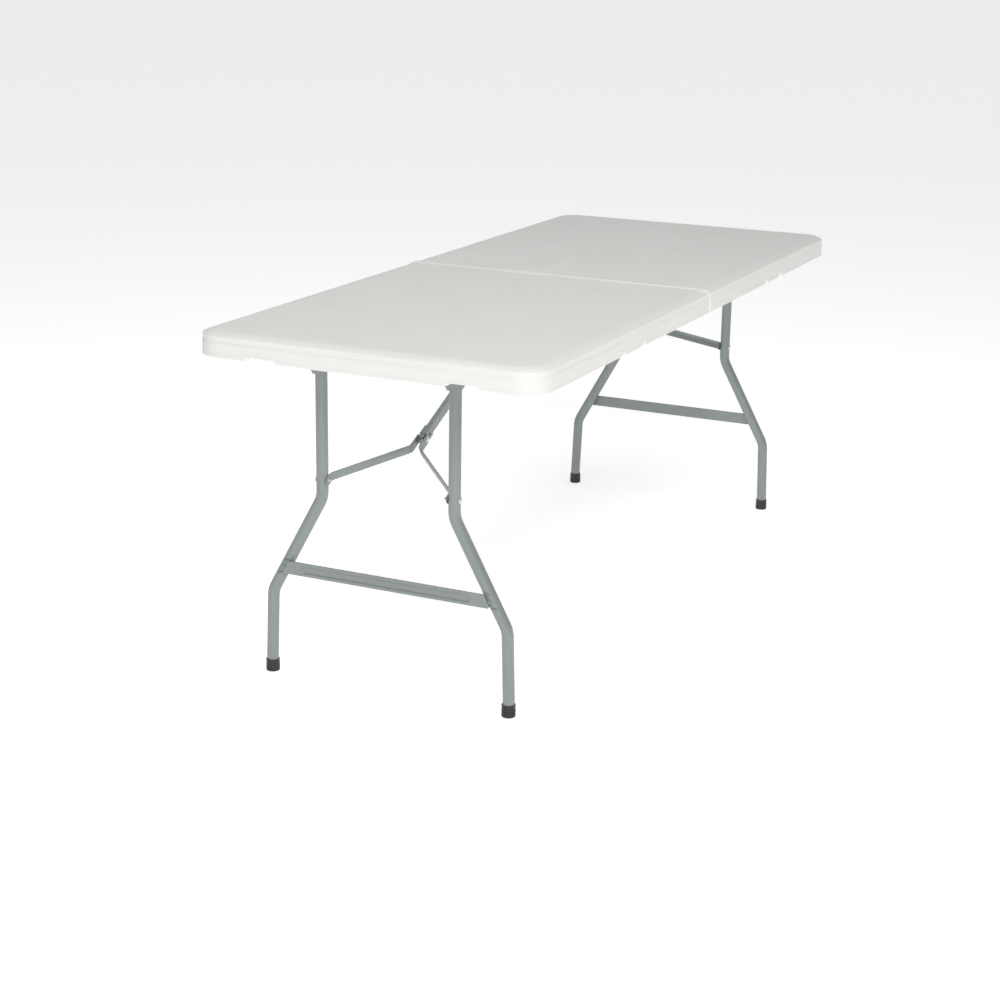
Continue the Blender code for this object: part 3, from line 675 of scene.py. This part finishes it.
def screw_head(at, axis, radius=0.0042, height=0.0020):
    """A pan head with a cross recess, standing out from a surface."""
    half_length, half_width, floor, past = 0.0022, 0.0004, 0.0010, 0.004
    head = turned(dome(radius, height, -0.0004, 0.0006), at, axis, 28)
    at, axis = Vector(at), Vector(axis)
    one = axis.orthogonal().normalized()
    slots = []
    for way in (one, axis.cross(one)):
        other = axis.cross(way)
        outlines = []
        for depth in (floor, past):
            corners = [(a * half_length, b * half_width) for a, b in ((-1, -1), (1, -1), (1, 1), (-1, 1))]
            outlines.append([at + axis * depth + way * a + other * b for a, b in corners])
        slots.append(lofted(outlines))
    return cut(head, *slots)


def make_rails(tag, side):
    """Box-section side rails with rounded corners, screwed to the top from below."""
    body = "half_" + tag
    for hand, sign in HANDS:
        low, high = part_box("side_rail_b_" + hand)
        outer = rounded_box(low.y, high.y, low.z, high.z, 0.0028)
        inner = rounded_box(low.y + WALL, high.y - WALL, low.z + WALL, high.z - WALL, 0.0016)
        outlines = []
        for outline, x in ((outer, low.x), (outer, high.x), (inner, high.x), (inner, low.x)):
            outlines.append([(x, y, z) for y, z in outline])
        bm = lofted(outlines, closed=True)
        add_piece(f"rail_{tag}_{hand}", mirrored(bm, side), body, "steel", [f"side_rail_{tag}_{hand}"])
        y = sign * (abs(low.y) + abs(high.y)) / 2
        for k, x in enumerate(RAIL_SCREWS, 1):
            bm = screw_head((x, y, low.z), -Z_AXIS)
            add_piece(f"rail_screw_{tag}_{hand}_{k}", mirrored(bm, side), body, "zinc")


def make_arm_bracket(tag, side):
    """The folded bracket of the arm, with chamfered cheeks and a screw in each corner of its flanges."""
    body = "half_" + tag
    low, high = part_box("brace_bracket_b")
    plate = 0.002
    inner, fold = high.y - plate, high.z - plate
    flange = high.y + 0.010
    half = [(inner, fold), (inner, low.z), (high.y, low.z), (high.y, fold), (flange, fold), (flange, high.z)]
    outline = [(-y, z) for y, z in reversed(half)] + half
    bm = prism(outline, low.x, high.x, "X", 0.0006)
    across, down, past = 0.009, 0.010, 0.002  # a chamfer's size, and the cutter's reach past the metal
    chamfers = []
    for x, inwards in ((low.x, 1), (high.x, -1)):
        outside, foot = x - inwards * past, low.z - past
        corner = [(outside, foot), (x + inwards * across, foot), (outside, low.z + down)]
        chamfers.append(prism(corner, -high.y - 0.001, high.y + 0.001, "Y"))
    bracket = cut(bm, *chamfers)
    add_piece("arm_bracket_" + tag, mirrored(bracket, side), body, "steel", ["brace_bracket_" + tag])

    reach = high.y + GAP
    bm = turned(rod(0.003, -reach, reach), U, Y_AXIS)
    for way in (Y_AXIS, -Y_AXIS):
        turned(dome(0.0050, 0.0013, reach, 0.0006), U, way, bm=bm)
    add_piece("arm_bracket_pin_" + tag, mirrored(bm, side), body, "zinc", ["bracket_pin_" + tag])

    screw_x, screw_y = 0.009, high.y + 0.0055
    for k, (dx, dy) in enumerate(((-1, -1), (-1, 1), (1, -1), (1, 1)), 1):
        bm = screw_head((U.x + dx * screw_x, dy * screw_y, fold), -Z_AXIS, 0.0036, 0.0016)
        add_piece(f"bracket_screw_{tag}_{k}", mirrored(bm, side), body, "zinc")


def make_hinge(tag, side):
    """A leaf beside each rail, with its eye on the centre axis, riveted to the rail."""
    body = "half_" + tag
    slope_length, slope_drop = 0.004, 0.003  # where the leaf's top comes down to the neck
    blunt = LEAF_END - LEAF_CHAMFER
    outline = [(LEAF_END, LEAF_TOP - LEAF_CHAMFER), (blunt, LEAF_TOP)]
    outline += [(LEAF_NECK + slope_length, LEAF_TOP), (LEAF_NECK, LEAF_TOP - slope_drop)]
    outline += arc((0, HINGE.z), EYE_RADIUS, 0.55 * pi, 1.83 * pi, 22)
    outline += [(LEAF_NECK, LEAF_FOOT), (blunt, LEAF_FOOT), (LEAF_END, LEAF_FOOT + LEAF_CHAMFER)]
    margin = 0.002  # of the spacer, inside the leaf's edges
    spacer_outline = rounded_box(
        LEAF_NECK + 0.015, LEAF_END - 0.005, LEAF_FOOT + margin, LEAF_TOP - margin, 0.003
    )
    for hand, sign in HANDS:
        node = f"hinge_leaf_{tag}_{hand}"
        near, far = y_ends(node)
        leaf = prism(outline, sign * near, sign * (near + LEAF_THICK), "Y", 0.0005)
        if far - near > LEAF_THICK + GAP:
            leaf = fused(leaf, prism(spacer_outline, sign * (near + 0.001), sign * far, "Y"))
        add_piece(f"leaf_{tag}_{hand}", mirrored(leaf, side), body, "zinc", [node])
        for k, x in enumerate(LEAF_RIVETS, 1):
            bm = turned(dome(0.0034, 0.0014, -0.0003, 0.0003), (x, sign * near, RIVET_Z), -sign * Y_AXIS, 24)
            add_piece(f"leaf_rivet_{tag}_{hand}_{k}", mirrored(bm, side), body, "zinc")


def make_hinge_pins():
    """Each centre hinge's pin, with a low head at either end."""
    sink = 0.0015  # of a head's foot, inside the pin's end
    for hand, sign in HANDS:
        inner, outer = y_ends("hinge_pin_" + hand)
        at, out = (0, 0, HINGE.z), sign * Y_AXIS
        bm = turned(rod(0.004, inner, outer), at, out)
        for end, way in ((outer, out), (-inner, -out)):
            turned(dome(0.006, 0.0009, end - sink, 0.0006), at, way, bm=bm)
        add_piece("hinge_rivet_" + hand, bm, "half_a", "zinc", ["hinge_pin_" + hand])


# Leg frames


def leg_path(sign):
    corners = (
        (NECK_Y, PIVOT.z),
        (NECK_Y, NECK_Z),
        (KNEE_Y, KNEE_Z),
        (FOOT_Y, ANKLE_Z),
        (FOOT_Y, LEG_END),
    )
    return rounded_path([(PIVOT.x, sign * y, z) for y, z in corners], BEND_RADIUS)


def leg_mesh(sign):
    """A bent tube, coped to the pivot tube at its top."""
    bm = swept(leg_path(sign), X_AXIS, lambda done, left: circle(LEG_RADIUS))
    inside = LEG_RADIUS - 0.0005
    for vert in bm.verts:
        if abs(vert.co.z - PIVOT.z) < 1e-6:
            vert.co.z -= sqrt(max(inside**2 - (vert.co.x - PIVOT.x) ** 2, 0))
    return bm


def leg_weld_mesh(sign):
    """The weld round the leg's coped top: a closed ring along the saddle where the two tubes meet."""
    count, lobes = 120, 4
    thick, ripple, sink = 0.0016, 0.14, 0.98
    outlines = []
    for i in range(count):
        turn = 2 * pi * i / count
        out = Vector((cos(turn), sin(turn), 0))
        foot = PIVOT + sign * NECK_Y * Y_AXIS + out * LEG_RADIUS
        foot.z -= sqrt(max(LEG_RADIUS**2 - (out.x * LEG_RADIUS) ** 2, 0)) * sink
        bead = circle(thick * (1 + ripple * cos(2 * pi * i / lobes)), 10)
        outlines.append([foot + out * a + Z_AXIS * b for a, b in bead])
    return lofted(outlines, closed=True)


def gusset_mesh(sign):
    """The flared plate over the joint of a leg and the pivot tube."""
    low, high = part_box("leg_gusset_b_left")
    half, foot, rise, corner = (high.y - low.y) / 2, 0.012, 0.0075, 0.004
    y = sign * NECK_Y
    flare = arc((half, 0), half - foot, pi, pi / 2, 6)  # a quarter ellipse, as high as rise
    flare = [(a, low.z + b * rise / (half - foot)) for a, b in flare]
    outline = [(y + a, z) for a, z in flare]
    outline += arc((y + half - corner, high.z - corner), corner, 0, pi / 2, 4)
    outline += arc((y - half + corner, high.z - corner), corner, pi / 2, pi, 4)
    outline += [(y - a, z) for a, z in reversed(flare)]
    return prism(outline, low.x - 0.0004, high.x, "X", 0.0006)


def foot_mesh(sign):
    """A black cap with a lip round its mouth and grooves round its side."""
    low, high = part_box("foot_cap_b_left")
    radius, cup = (high.x - low.x) / 2, LEG_RADIUS + 0.0001
    sole, floor = 0.0006, 0.0045  # heights of the sole's hollow and of the cup's floor
    profile = [(0, sole), (radius * 0.62, sole), (radius * 0.66, 0)]
    profile += arc((radius - 0.0018, 0.0018), 0.0016, -pi / 2, 0, 4)
    shallow, deep, half_width = 0.0003, 0.0009, 0.0008
    for z in (0.0065, 0.0105, 0.0145):
        profile.append((radius - shallow, z - half_width))
        profile.append((radius - deep, z))
        profile.append((radius - shallow, z + half_width))
    profile.append((radius - deep, CAP_HEIGHT - 0.0048))
    profile += arc((radius - 0.0013, CAP_HEIGHT - 0.0022), 0.0012, -pi / 3, pi / 2, 6)
    profile += [(cup, CAP_HEIGHT - 0.0016), (cup, floor), (0, floor)]
    return turned(profile, (PIVOT.x, sign * FOOT_Y, 0), Z_AXIS, 48)


def bolt_mesh(sign):
    """The brace's bolt, with a dome head outside the leg and a nut inside."""
    out = sign * Y_AXIS
    at = Vector((PIVOT.x, sign * NECK_Y, Q.z))
    shank, nut, thick = 0.003, 0.0060, 0.0042  # two radii and the nut's thickness
    seat = -(LEG_RADIUS + STRAP_THICK + 3 * GAP)  # of the nut, on the strap
    tip = seat - 0.0055
    profile = [(0, tip), (shank * 0.8, tip), (shank, tip + 0.0007), (shank, LEG_RADIUS), (0, LEG_RADIUS)]
    bm = turned(profile, at, out, 24)
    turned(dome(0.0065, 0.0024, LEG_RADIUS - 0.0008, 0.0010), at, out, 36, bm)
    return fused(bm, soften(turned(rod(nut, seat - thick, seat), at, out, 6), 0.0005))


def plug_mesh(sign):
    """The plastic plug in the pivot tube's end, whose stub turns in the rail."""
    bore = LEG_RADIUS - WALL - GAP
    length, flange, face, stub, reach, chamfer = 0.020, 0.0120, 0.0014, 0.006, 0.012, 0.0003
    profile = [(0, -length), (bore - 0.0006, -length), (bore, -length + 0.002), (bore, GAP)]
    profile += [(flange - chamfer, GAP), (flange, GAP + chamfer), (flange - chamfer, face)]
    profile += [(stub, face), (stub, reach - 0.0006), (stub - 0.0006, reach), (0, reach)]
    return turned(profile, (PIVOT.x, sign * PIVOT_REACH, PIVOT.z), sign * Y_AXIS, 36)


def make_pivot_tube(tag, side):
    outlines = []
    lip = 0.0004
    for radius, y in (
        (LEG_RADIUS - lip, -PIVOT_REACH),
        (LEG_RADIUS, -PIVOT_REACH + lip),
        (LEG_RADIUS, PIVOT_REACH - lip),
        (LEG_RADIUS - lip, PIVOT_REACH),
        (LEG_RADIUS - WALL, PIVOT_REACH),
        (LEG_RADIUS - WALL, -PIVOT_REACH),
    ):
        outlines.append([(PIVOT.x + a, y, PIVOT.z + b) for a, b in circle(radius)])
    tube = mirrored(lofted(outlines, closed=True), side)
    add_piece("pivot_" + tag, tube, "leg_frame_" + tag, "steel", ["pivot_tube_" + tag])


def stretcher_recess(face, z):
    """The shape that presses a long recess with a curved wall into the stretcher's outer face."""
    end, half, straight = 0.190, 0.0072, 0.183
    outline = rounded_box(-end, end, z - half, z + half, 0.0068, 8)
    wall = ((-0.0022, 0.0016), (-0.0017, 0.0007), (-0.0006, 0.0001), (0, -0.0005), (0.001, -0.0016))
    outlines = []
    for depth, shrink in wall:
        ring = []
        for y, h in outline:
            centre = max(-straight, min(straight, y))
            away = Vector((y - centre, h - z))
            away -= away.normalized() * shrink
            ring.append((face + depth, centre + away.x, z + away.y))
        outlines.append(ring)
    return lofted(outlines)


def make_stretcher(tag, side):
    """A flat bar with a long pressed recess, spot-welded to the legs' outer faces."""
    body = "leg_frame_" + tag
    low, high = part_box("stretcher_b")
    slope = (KNEE_Y - NECK_Y) / (NECK_Z - KNEE_Z)  # of the legs, which the bar's ends follow
    corner, lean = 0.004, atan2(slope, 1)
    foot_y, top_y = high.y, high.y - slope * (high.z - low.z)
    sharp, blunt = (corner * tan((pi / 2 + turn) / 2) for turn in (lean, -lean))
    half = arc((foot_y - sharp, low.z + corner), corner, -pi / 2, lean, 6)
    half += arc((top_y - blunt, high.z - corner), corner, lean, pi / 2, 6)
    bm = prism(half + [(-y, h) for y, h in reversed(half)], low.x, high.x, "X", 0.0010)
    z = (low.z + high.z) / 2
    bar = cut(bm, stretcher_recess(high.x, z))
    add_piece("crossbar_" + tag, mirrored(bar, side), body, "steel", ["stretcher_" + tag])

    bead, sink = 0.0075, 0.0006  # half a weld's length, and its depth in the bar
    for hand, sign in HANDS:
        at = (high.x, sign * (NECK_Y + slope * (NECK_Z - z)), z)
        spot = turned(dome(0.0030, 0.0008, -0.0003, 0.0001), at, X_AXIS, 28)
        add_piece(f"spot_weld_{tag}_{hand}", mirrored(spot, side), body, "steel")
        for edge, h in (("top", high.z), ("foot", low.z)):
            y = NECK_Y + slope * (NECK_Z - h)
            path = [Vector((low.x + sink, sign * (y + t), h)) for t in (-bead, bead)]
            bm = weld_bead(path, X_AXIS, 0.0011)
            add_piece(f"bar_weld_{tag}_{hand}_{edge}", mirrored(bm, side), body, "steel")


def make_leg_frame(tag, side):
    """The pivot tube, the stretcher, and what there is once for each leg."""
    make_pivot_tube(tag, side)
    make_stretcher(tag, side)
    for hand, sign in HANDS:
        for piece, node, look, mesh in (
            ("leg_tube", "leg", "steel", leg_mesh),
            ("leg_weld", None, "steel", leg_weld_mesh),
            ("gusset", "leg_gusset", "steel", gusset_mesh),
            ("foot", "foot_cap", "foot", foot_mesh),
            ("bolt", "brace_bolt", "zinc", bolt_mesh),
            ("plug", "pivot_plug", "fitting", plug_mesh),
        ):
            nodes = [f"{node}_{tag}_{hand}"] if node else []
            bm = mirrored(mesh(sign), side)
            add_piece(f"{piece}_{tag}_{hand}", bm, "leg_frame_" + tag, look, nodes)


# Folding brace


def rounded_end(distance, reach):
    """Share of a bar's full height at a distance from its round end."""
    near = max(0.0, 1 - distance / reach)
    return sqrt(max(1 - near * near, 0.0))


def strap_section(done, left):
    """A flat strip with a stiffening fold, which fades out towards both ends. Its ends are round."""
    share = min(rounded_end(done, BRACE_HALF), rounded_end(left, KNUCKLE_REACH))
    half = max(BRACE_HALF * share, 0.0012)
    fold = STRAP_FOLD * smooth_step((done - FOLD_START) / FOLD_BLEND)
    fold *= smooth_step((left - TAB_LENGTH - 0.004) / FOLD_BLEND)
    crest = 0.25 * half  # the fold runs a little above the strip's middle
    heights = [-0.55 * half, crest - 0.18 * half, crest, crest + 0.18 * half, 0.75 * half]
    edge, t = 0.0006, STRAP_THICK / 2

    def bend(h):
        """How far the strip stands out at a height, with its edges at 0 and the crest at fold."""
        reach = half + crest if h < crest else half - crest
        return fold * (1 - abs(h - crest) / reach)

    outer = [(bend(h) + t, h) for h in heights]
    inner = [(bend(h) - t, h) for h in reversed(heights)]
    top = [(t, half - edge), (t - edge, half), (edge - t, half), (-t, half - edge)]
    foot = [(-a, -h) for a, h in top]
    return outer + top + inner + foot


def ends_closer(path, step, count):
    """The path with count extra points, step apart, next to each end."""
    for _ in range(2):
        first = path[0]
        way = (path[1] - first).normalized()
        start = [first + way * step * i for i in range(count)]
        reach = step * (count - 0.5)
        path = start + [point for point in path[1:] if (point - first).length > reach]
        path = path[::-1]
    return path


def make_straps(tag, side):
    """Two strips from the legs' inner faces to the knuckle."""
    leg_y = NECK_Y - LEG_RADIUS - GAP - STRAP_THICK / 2
    knuckle_y = STRAP_INNER + STRAP_THICK / 2
    route = [
        (-BRACE_HALF, leg_y),
        (0.014, leg_y),
        (STRAP_LENGTH - TAB_LENGTH, knuckle_y),
        (STRAP_LENGTH + KNUCKLE_REACH, knuckle_y),
    ]
    path = rounded_path([brace_place(u, y, 0) for u, y in route], 0.012)
    path = ends_closer(filled_in(path, 0.0035), 0.0006, 10)
    for hand, sign in HANDS:
        bm = swept(path, SQUARE, strap_section)
        if sign < 0:
            bmesh.ops.scale(bm, vec=(1, -1, 1), verts=bm.verts)
        node = f"brace_strap_{tag}_{hand}"
        add_piece(f"strap_{tag}_{hand}", mirrored(bm, side), "straps_" + tag, "steel", [node])


def make_arm(tag, side):
    """The upper arm, a channel open below, with round ends, holes and a small stop on each side."""
    body = "arm_" + tag
    ends = arc((STRAP_LENGTH, 0), BRACE_HALF, pi / 2, 3 * pi / 2, 16)
    ends += arc((BRACE_LENGTH, 0), BRACE_HALF, -pi / 2, pi / 2, 16)
    bm = brace_prism(ends, -ARM_HALF, ARM_HALF, 0.0012)
    start, end, below = 0.10, 0.75, -0.02  # all past the arm's own outline
    inner, crown = ARM_HALF - ARM_WALL, BRACE_HALF - ARM_WALL
    hollow = brace_prism([(start, below), (end, below), (end, crown), (start, crown)], -inner, inner)
    holes = bmesh.new()
    for reach in ARM_HOLES:
        drill = rod(0.0032, -0.01, 0)  # through one side of the channel
        turned(drill, brace_place(STRAP_LENGTH + reach, 0, 0), Y_AXIS, 24, holes)
    arm = cut(bm, hollow, holes)
    add_piece("arm_" + tag, mirrored(arm, side), body, "steel", ["brace_arm_" + tag])
    for hand, sign in HANDS:
        at = brace_place(STRAP_LENGTH + ARM_STOP, sign * ARM_HALF, 0)
        bm = turned(dome(0.0028, 0.0010, -0.0004, 0.0005), at, sign * Y_AXIS, 24)
        add_piece(f"arm_stop_{tag}_{hand}", mirrored(bm, side), body, "steel")


def make_knuckle(tag, side):
    """The pin through the arm and both straps, with a head on the outside of each strap."""
    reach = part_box("knuckle_pin_b")[1].y
    bm = turned(rod(0.004, -reach, reach), K, Y_AXIS)
    add_piece("knuckle_" + tag, mirrored(bm, side), "arm_" + tag, "zinc", ["knuckle_pin_" + tag])
    for hand, sign in HANDS:
        bm = turned(dome(0.0062, 0.0016, STRAP_INNER + STRAP_THICK, 0.0006), K, sign * Y_AXIS)
        add_piece(f"knuckle_head_{tag}_{hand}", mirrored(bm, side), "straps_" + tag, "zinc")


def make_collar(tag, side):
    """The sliding lock collar: a rounded sleeve with rolled ends and a hole in each side."""
    outer_y, outer_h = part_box("lock_collar_b")[1].y, BRACE_HALF + 0.0024
    inner_y, inner_h = ARM_HALF + 0.0005, BRACE_HALF + 0.0006
    lip = 0.0007
    start = STRAP_LENGTH + COLLAR_START
    outlines = []
    for u, y, h, radius in (
        (0, outer_y - lip, outer_h - lip, 0.0022),
        (lip, outer_y, outer_h, 0.0028),
        (COLLAR_LENGTH - lip, outer_y, outer_h, 0.0028),
        (COLLAR_LENGTH, outer_y - lip, outer_h - lip, 0.0022),
        (COLLAR_LENGTH, inner_y, inner_h, 0.0012),
        (0, inner_y, inner_h, 0.0012),
    ):
        outline = rounded_box(-y, y, -h, h, radius, 5)
        outlines.append([brace_place(start + u, a, b) for a, b in outline])
    hole = turned(rod(0.0036, -0.02, 0.02), brace_place(start + COLLAR_LENGTH / 2, 0, 0), Y_AXIS, 28)
    collar = mirrored(cut(lofted(outlines, closed=True), hole), side)
    add_piece("collar_" + tag, collar, "collar_" + tag, "steel", ["lock_collar_" + tag])


# Handle and latches


def grip_section(done, left):
    """The hand hold's oval section, with round ends and shallow waves for the fingers."""
    width, height, wave, pitch, end = 0.0066, 0.0062, 0.045, 0.0255, 0.012
    share = max(rounded_end(min(done, left), end), 0.2)
    across, up = width * share * (1 - wave * cos(2 * pi * done / pitch)), height * share
    return [(across * cos(t * pi / 12), up * sin(t * pi / 12)) for t in range(24)]


def make_handle():
    """A U-shaped carrying grip with a swollen hand hold, and the two blocks that its stubs turn in."""
    low, high = handle_low, handle_high
    left, right = HANDLE_ARMS
    arm_half, thick, bar = 0.007, 0.005, 0.014  # bar is the width of the flat bar under the hand hold
    stub_y, stub_z = low.y + 0.004, low.z + thick / 2
    corner, fillet = 0.010, 0.006
    foot_y, inner_y = stub_y + 0.003, high.y - bar - fillet
    outline = (
        arc((right + arm_half - corner, high.y - corner), corner, 0, pi / 2, 8)
        + arc((left - arm_half + corner, high.y - corner), corner, pi / 2, pi, 8)
        + arc((left, foot_y), arm_half, pi, 2 * pi, 12)
        + arc((left + arm_half + fillet, inner_y), fillet, pi, pi / 2, 6)
        + arc((right - arm_half - fillet, inner_y), fillet, pi / 2, 0, 6)
        + arc((right, foot_y), arm_half, pi, 2 * pi, 12)
    )
    bm = prism(outline, low.z, low.z + thick, "Z", 0.0011)
    grip_y, grip_z, margin = high.y - 0.0075, low.z + 0.0068, 0.004
    ends = [Vector((x, grip_y, grip_z)) for x in (left + margin, right - margin)]
    parts = [swept(filled_in(ends, 0.0022), Z_AXIS, grip_section)]
    stub = [(0, 0), (0.0014, 0), (0.0014, STUB_REACH - 0.0002), (0, STUB_REACH)]
    for x, sign in ((left, -1), (right, 1)):
        parts.append(turned(stub, (x, stub_y, stub_z), sign * X_AXIS, 20))
    add_piece("grip", fused(bm, *parts), "carry_handle", "fitting", ["carry_handle"])
    for k in (1, 2):
        node = f"handle_bracket_{k}"
        low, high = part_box(node)
        block = prism(rounded_box(low.x, high.x, low.y, high.y, 0.0015), low.z, high.z, "Z", 0.0008)
        socket = turned(rod(0.0017, -0.02, 0.02), (middle(node).x, stub_y, stub_z), X_AXIS, 20)
        add_piece(f"handle_mount_{k}", cut(block, socket), "half_a", "fitting", [node])


def make_latch(hand, sign):
    """A hook in half a's end rim, on its pin."""
    node, pin_node = "latch_" + hand, "latch_pin_" + hand
    low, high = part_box(node)
    tip = y_ends(node)[0]
    pin = middle(pin_node)
    half, barb, nose, slope = 0.005, 0.005, 0.002, 0.0025
    outline = arc((abs(pin.y), pin.z), half, -pi / 2, pi / 2, 12)
    outline += [(tip + nose, high.z), (tip, high.z - nose), (tip, low.z), (tip + barb * 0.6, low.z)]
    outline += [(tip + barb, low.z + slope), (tip + barb, pin.z - half)]
    bm = prism([(sign * y, z) for y, z in outline], low.x, high.x, "X", 0.0006)
    add_piece("hook_" + hand, bm, node, "fitting", [node])

    low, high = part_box(pin_node)
    short, sink = 0.0004, 0.0012  # how far the shank and the heads' feet are inside the pin's ends
    bm = turned(rod(0.0022, low.x + short, high.x - short), (0, pin.y, pin.z), X_AXIS, 24)
    for end, way in ((low.x, -1), (high.x, 1)):
        turned(dome(0.0040, 0.0006, 0, 0.0006), (end - way * sink, pin.y, pin.z), way * X_AXIS, 28, bm)
    add_piece("hook_pin_" + hand, bm, "half_a", "zinc", [pin_node])


def make_keeper(hand, sign):
    """The lipped block on half b that catches the hook in the folded table."""
    node = "latch_keeper_" + hand
    low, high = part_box(node)
    near, far = y_ends(node)
    lip, web, blunt, corner = 0.0045, 0.005, 0.001, 0.003
    shelf = low.z + lip
    outline = [(near, shelf - blunt), (near + blunt, shelf), (far - web, shelf), (far - web, high.z)]
    outline += [(far, high.z)] + arc((far - corner, low.z + corner), corner, 0, -pi / 2, 5)
    outline += [(near, low.z)]
    bm = prism([(sign * y, z) for y, z in outline], low.x, high.x, "X", 0.0006)
    add_piece("keeper_" + hand, bm, "half_b", "fitting", [node])


# Floor, lights and camera


def make_floor():
    bm = bmesh.new()
    bmesh.ops.create_circle(bm, cap_ends=True, segments=96, radius=80)
    floor = plain_object("floor", bm)
    material = finish(
        "pale_floor",
        colour=(0.90, 0.90, 0.90),
        shade=(0.895, 0.895, 0.895),
        roughness=(0.8, 0.85),
        grain=60,
        depth=0.00002,
        broad=0.5,
        Emission_Color=(1, 1, 1, 1),
        Emission_Strength=0.55,
    )
    floor.data.materials.append(material)


def make_world():
    """A white room: bright at the floor's edge and softer overhead."""
    world = bpy.data.worlds.new("white_studio")
    world.use_nodes = True
    tree = world.node_tree
    place = tree.nodes.new("ShaderNodeTexCoord")
    axes = tree.nodes.new("ShaderNodeSeparateXYZ")
    tree.links.new(place.outputs["Generated"], axes.inputs[0])
    background = tree.nodes["Background"]
    background.inputs["Color"].default_value = (1, 1, 1, 1)
    strength = spread(tree, axes.outputs["Z"], 0.88, 0.30, start=0.04, end=0.30)
    tree.links.new(strength, background.inputs["Strength"])
    bpy.context.scene.world = world


def soft_light(name, at, target, width, height, power):
    light = bpy.data.lights.new(name, "AREA")
    light.shape = "RECTANGLE"
    light.size, light.size_y = width, height
    light.energy = power
    obj = bpy.data.objects.new(name, light)
    obj.location = at
    obj.rotation_euler = (Vector(target) - Vector(at)).to_track_quat("-Z", "Y").to_euler()
    bpy.context.scene.collection.objects.link(obj)


def make_lights():
    soft_light("key", at=(-2.9, -1.9, 3.4), target=(-0.5, 0, 0.6), width=1.8, height=1.4, power=80)
    soft_light("above", at=(-0.4, 0, 4.5), target=(-0.4, 0, 0), width=3.0, height=2.4, power=50)
    soft_light("front_fill", at=(-4.2, -1.5, 0.7), target=(-0.6, 0, 0.3), width=0.8, height=0.5, power=8)


def make_camera():
    """A long lens at the near end's left, rolled a little about its own axis."""
    place = Vector((-4.0682, -1.7669, 1.5182))
    aim, roll = Vector((0.86855, 0.40462, -0.28618)), radians(0.94)
    data = bpy.data.cameras.new("camera")
    data.sensor_width, data.lens = 36.0, 70.756
    data.clip_end = 300
    camera = bpy.data.objects.new("camera", data)
    turn = aim.to_track_quat("-Z", "Y") @ Quaternion((0, 0, 1), roll)
    camera.matrix_world = Matrix.Translation(place) @ turn.to_matrix().to_4x4()
    bpy.context.scene.collection.objects.link(camera)
    bpy.context.scene.camera = camera
    bpy.context.scene.view_settings.view_transform = "Standard"


make_tops()
for tag, side in HALVES:
    make_rails(tag, side)
    make_arm_bracket(tag, side)
    make_hinge(tag, side)
    make_leg_frame(tag, side)
    make_straps(tag, side)
    make_arm(tag, side)
    make_knuckle(tag, side)
    make_collar(tag, side)
make_hinge_pins()
make_handle()
for hand, sign in HANDS:
    make_latch(hand, sign)
    make_keeper(hand, sign)
make_floor()
make_world()
make_lights()
make_camera()
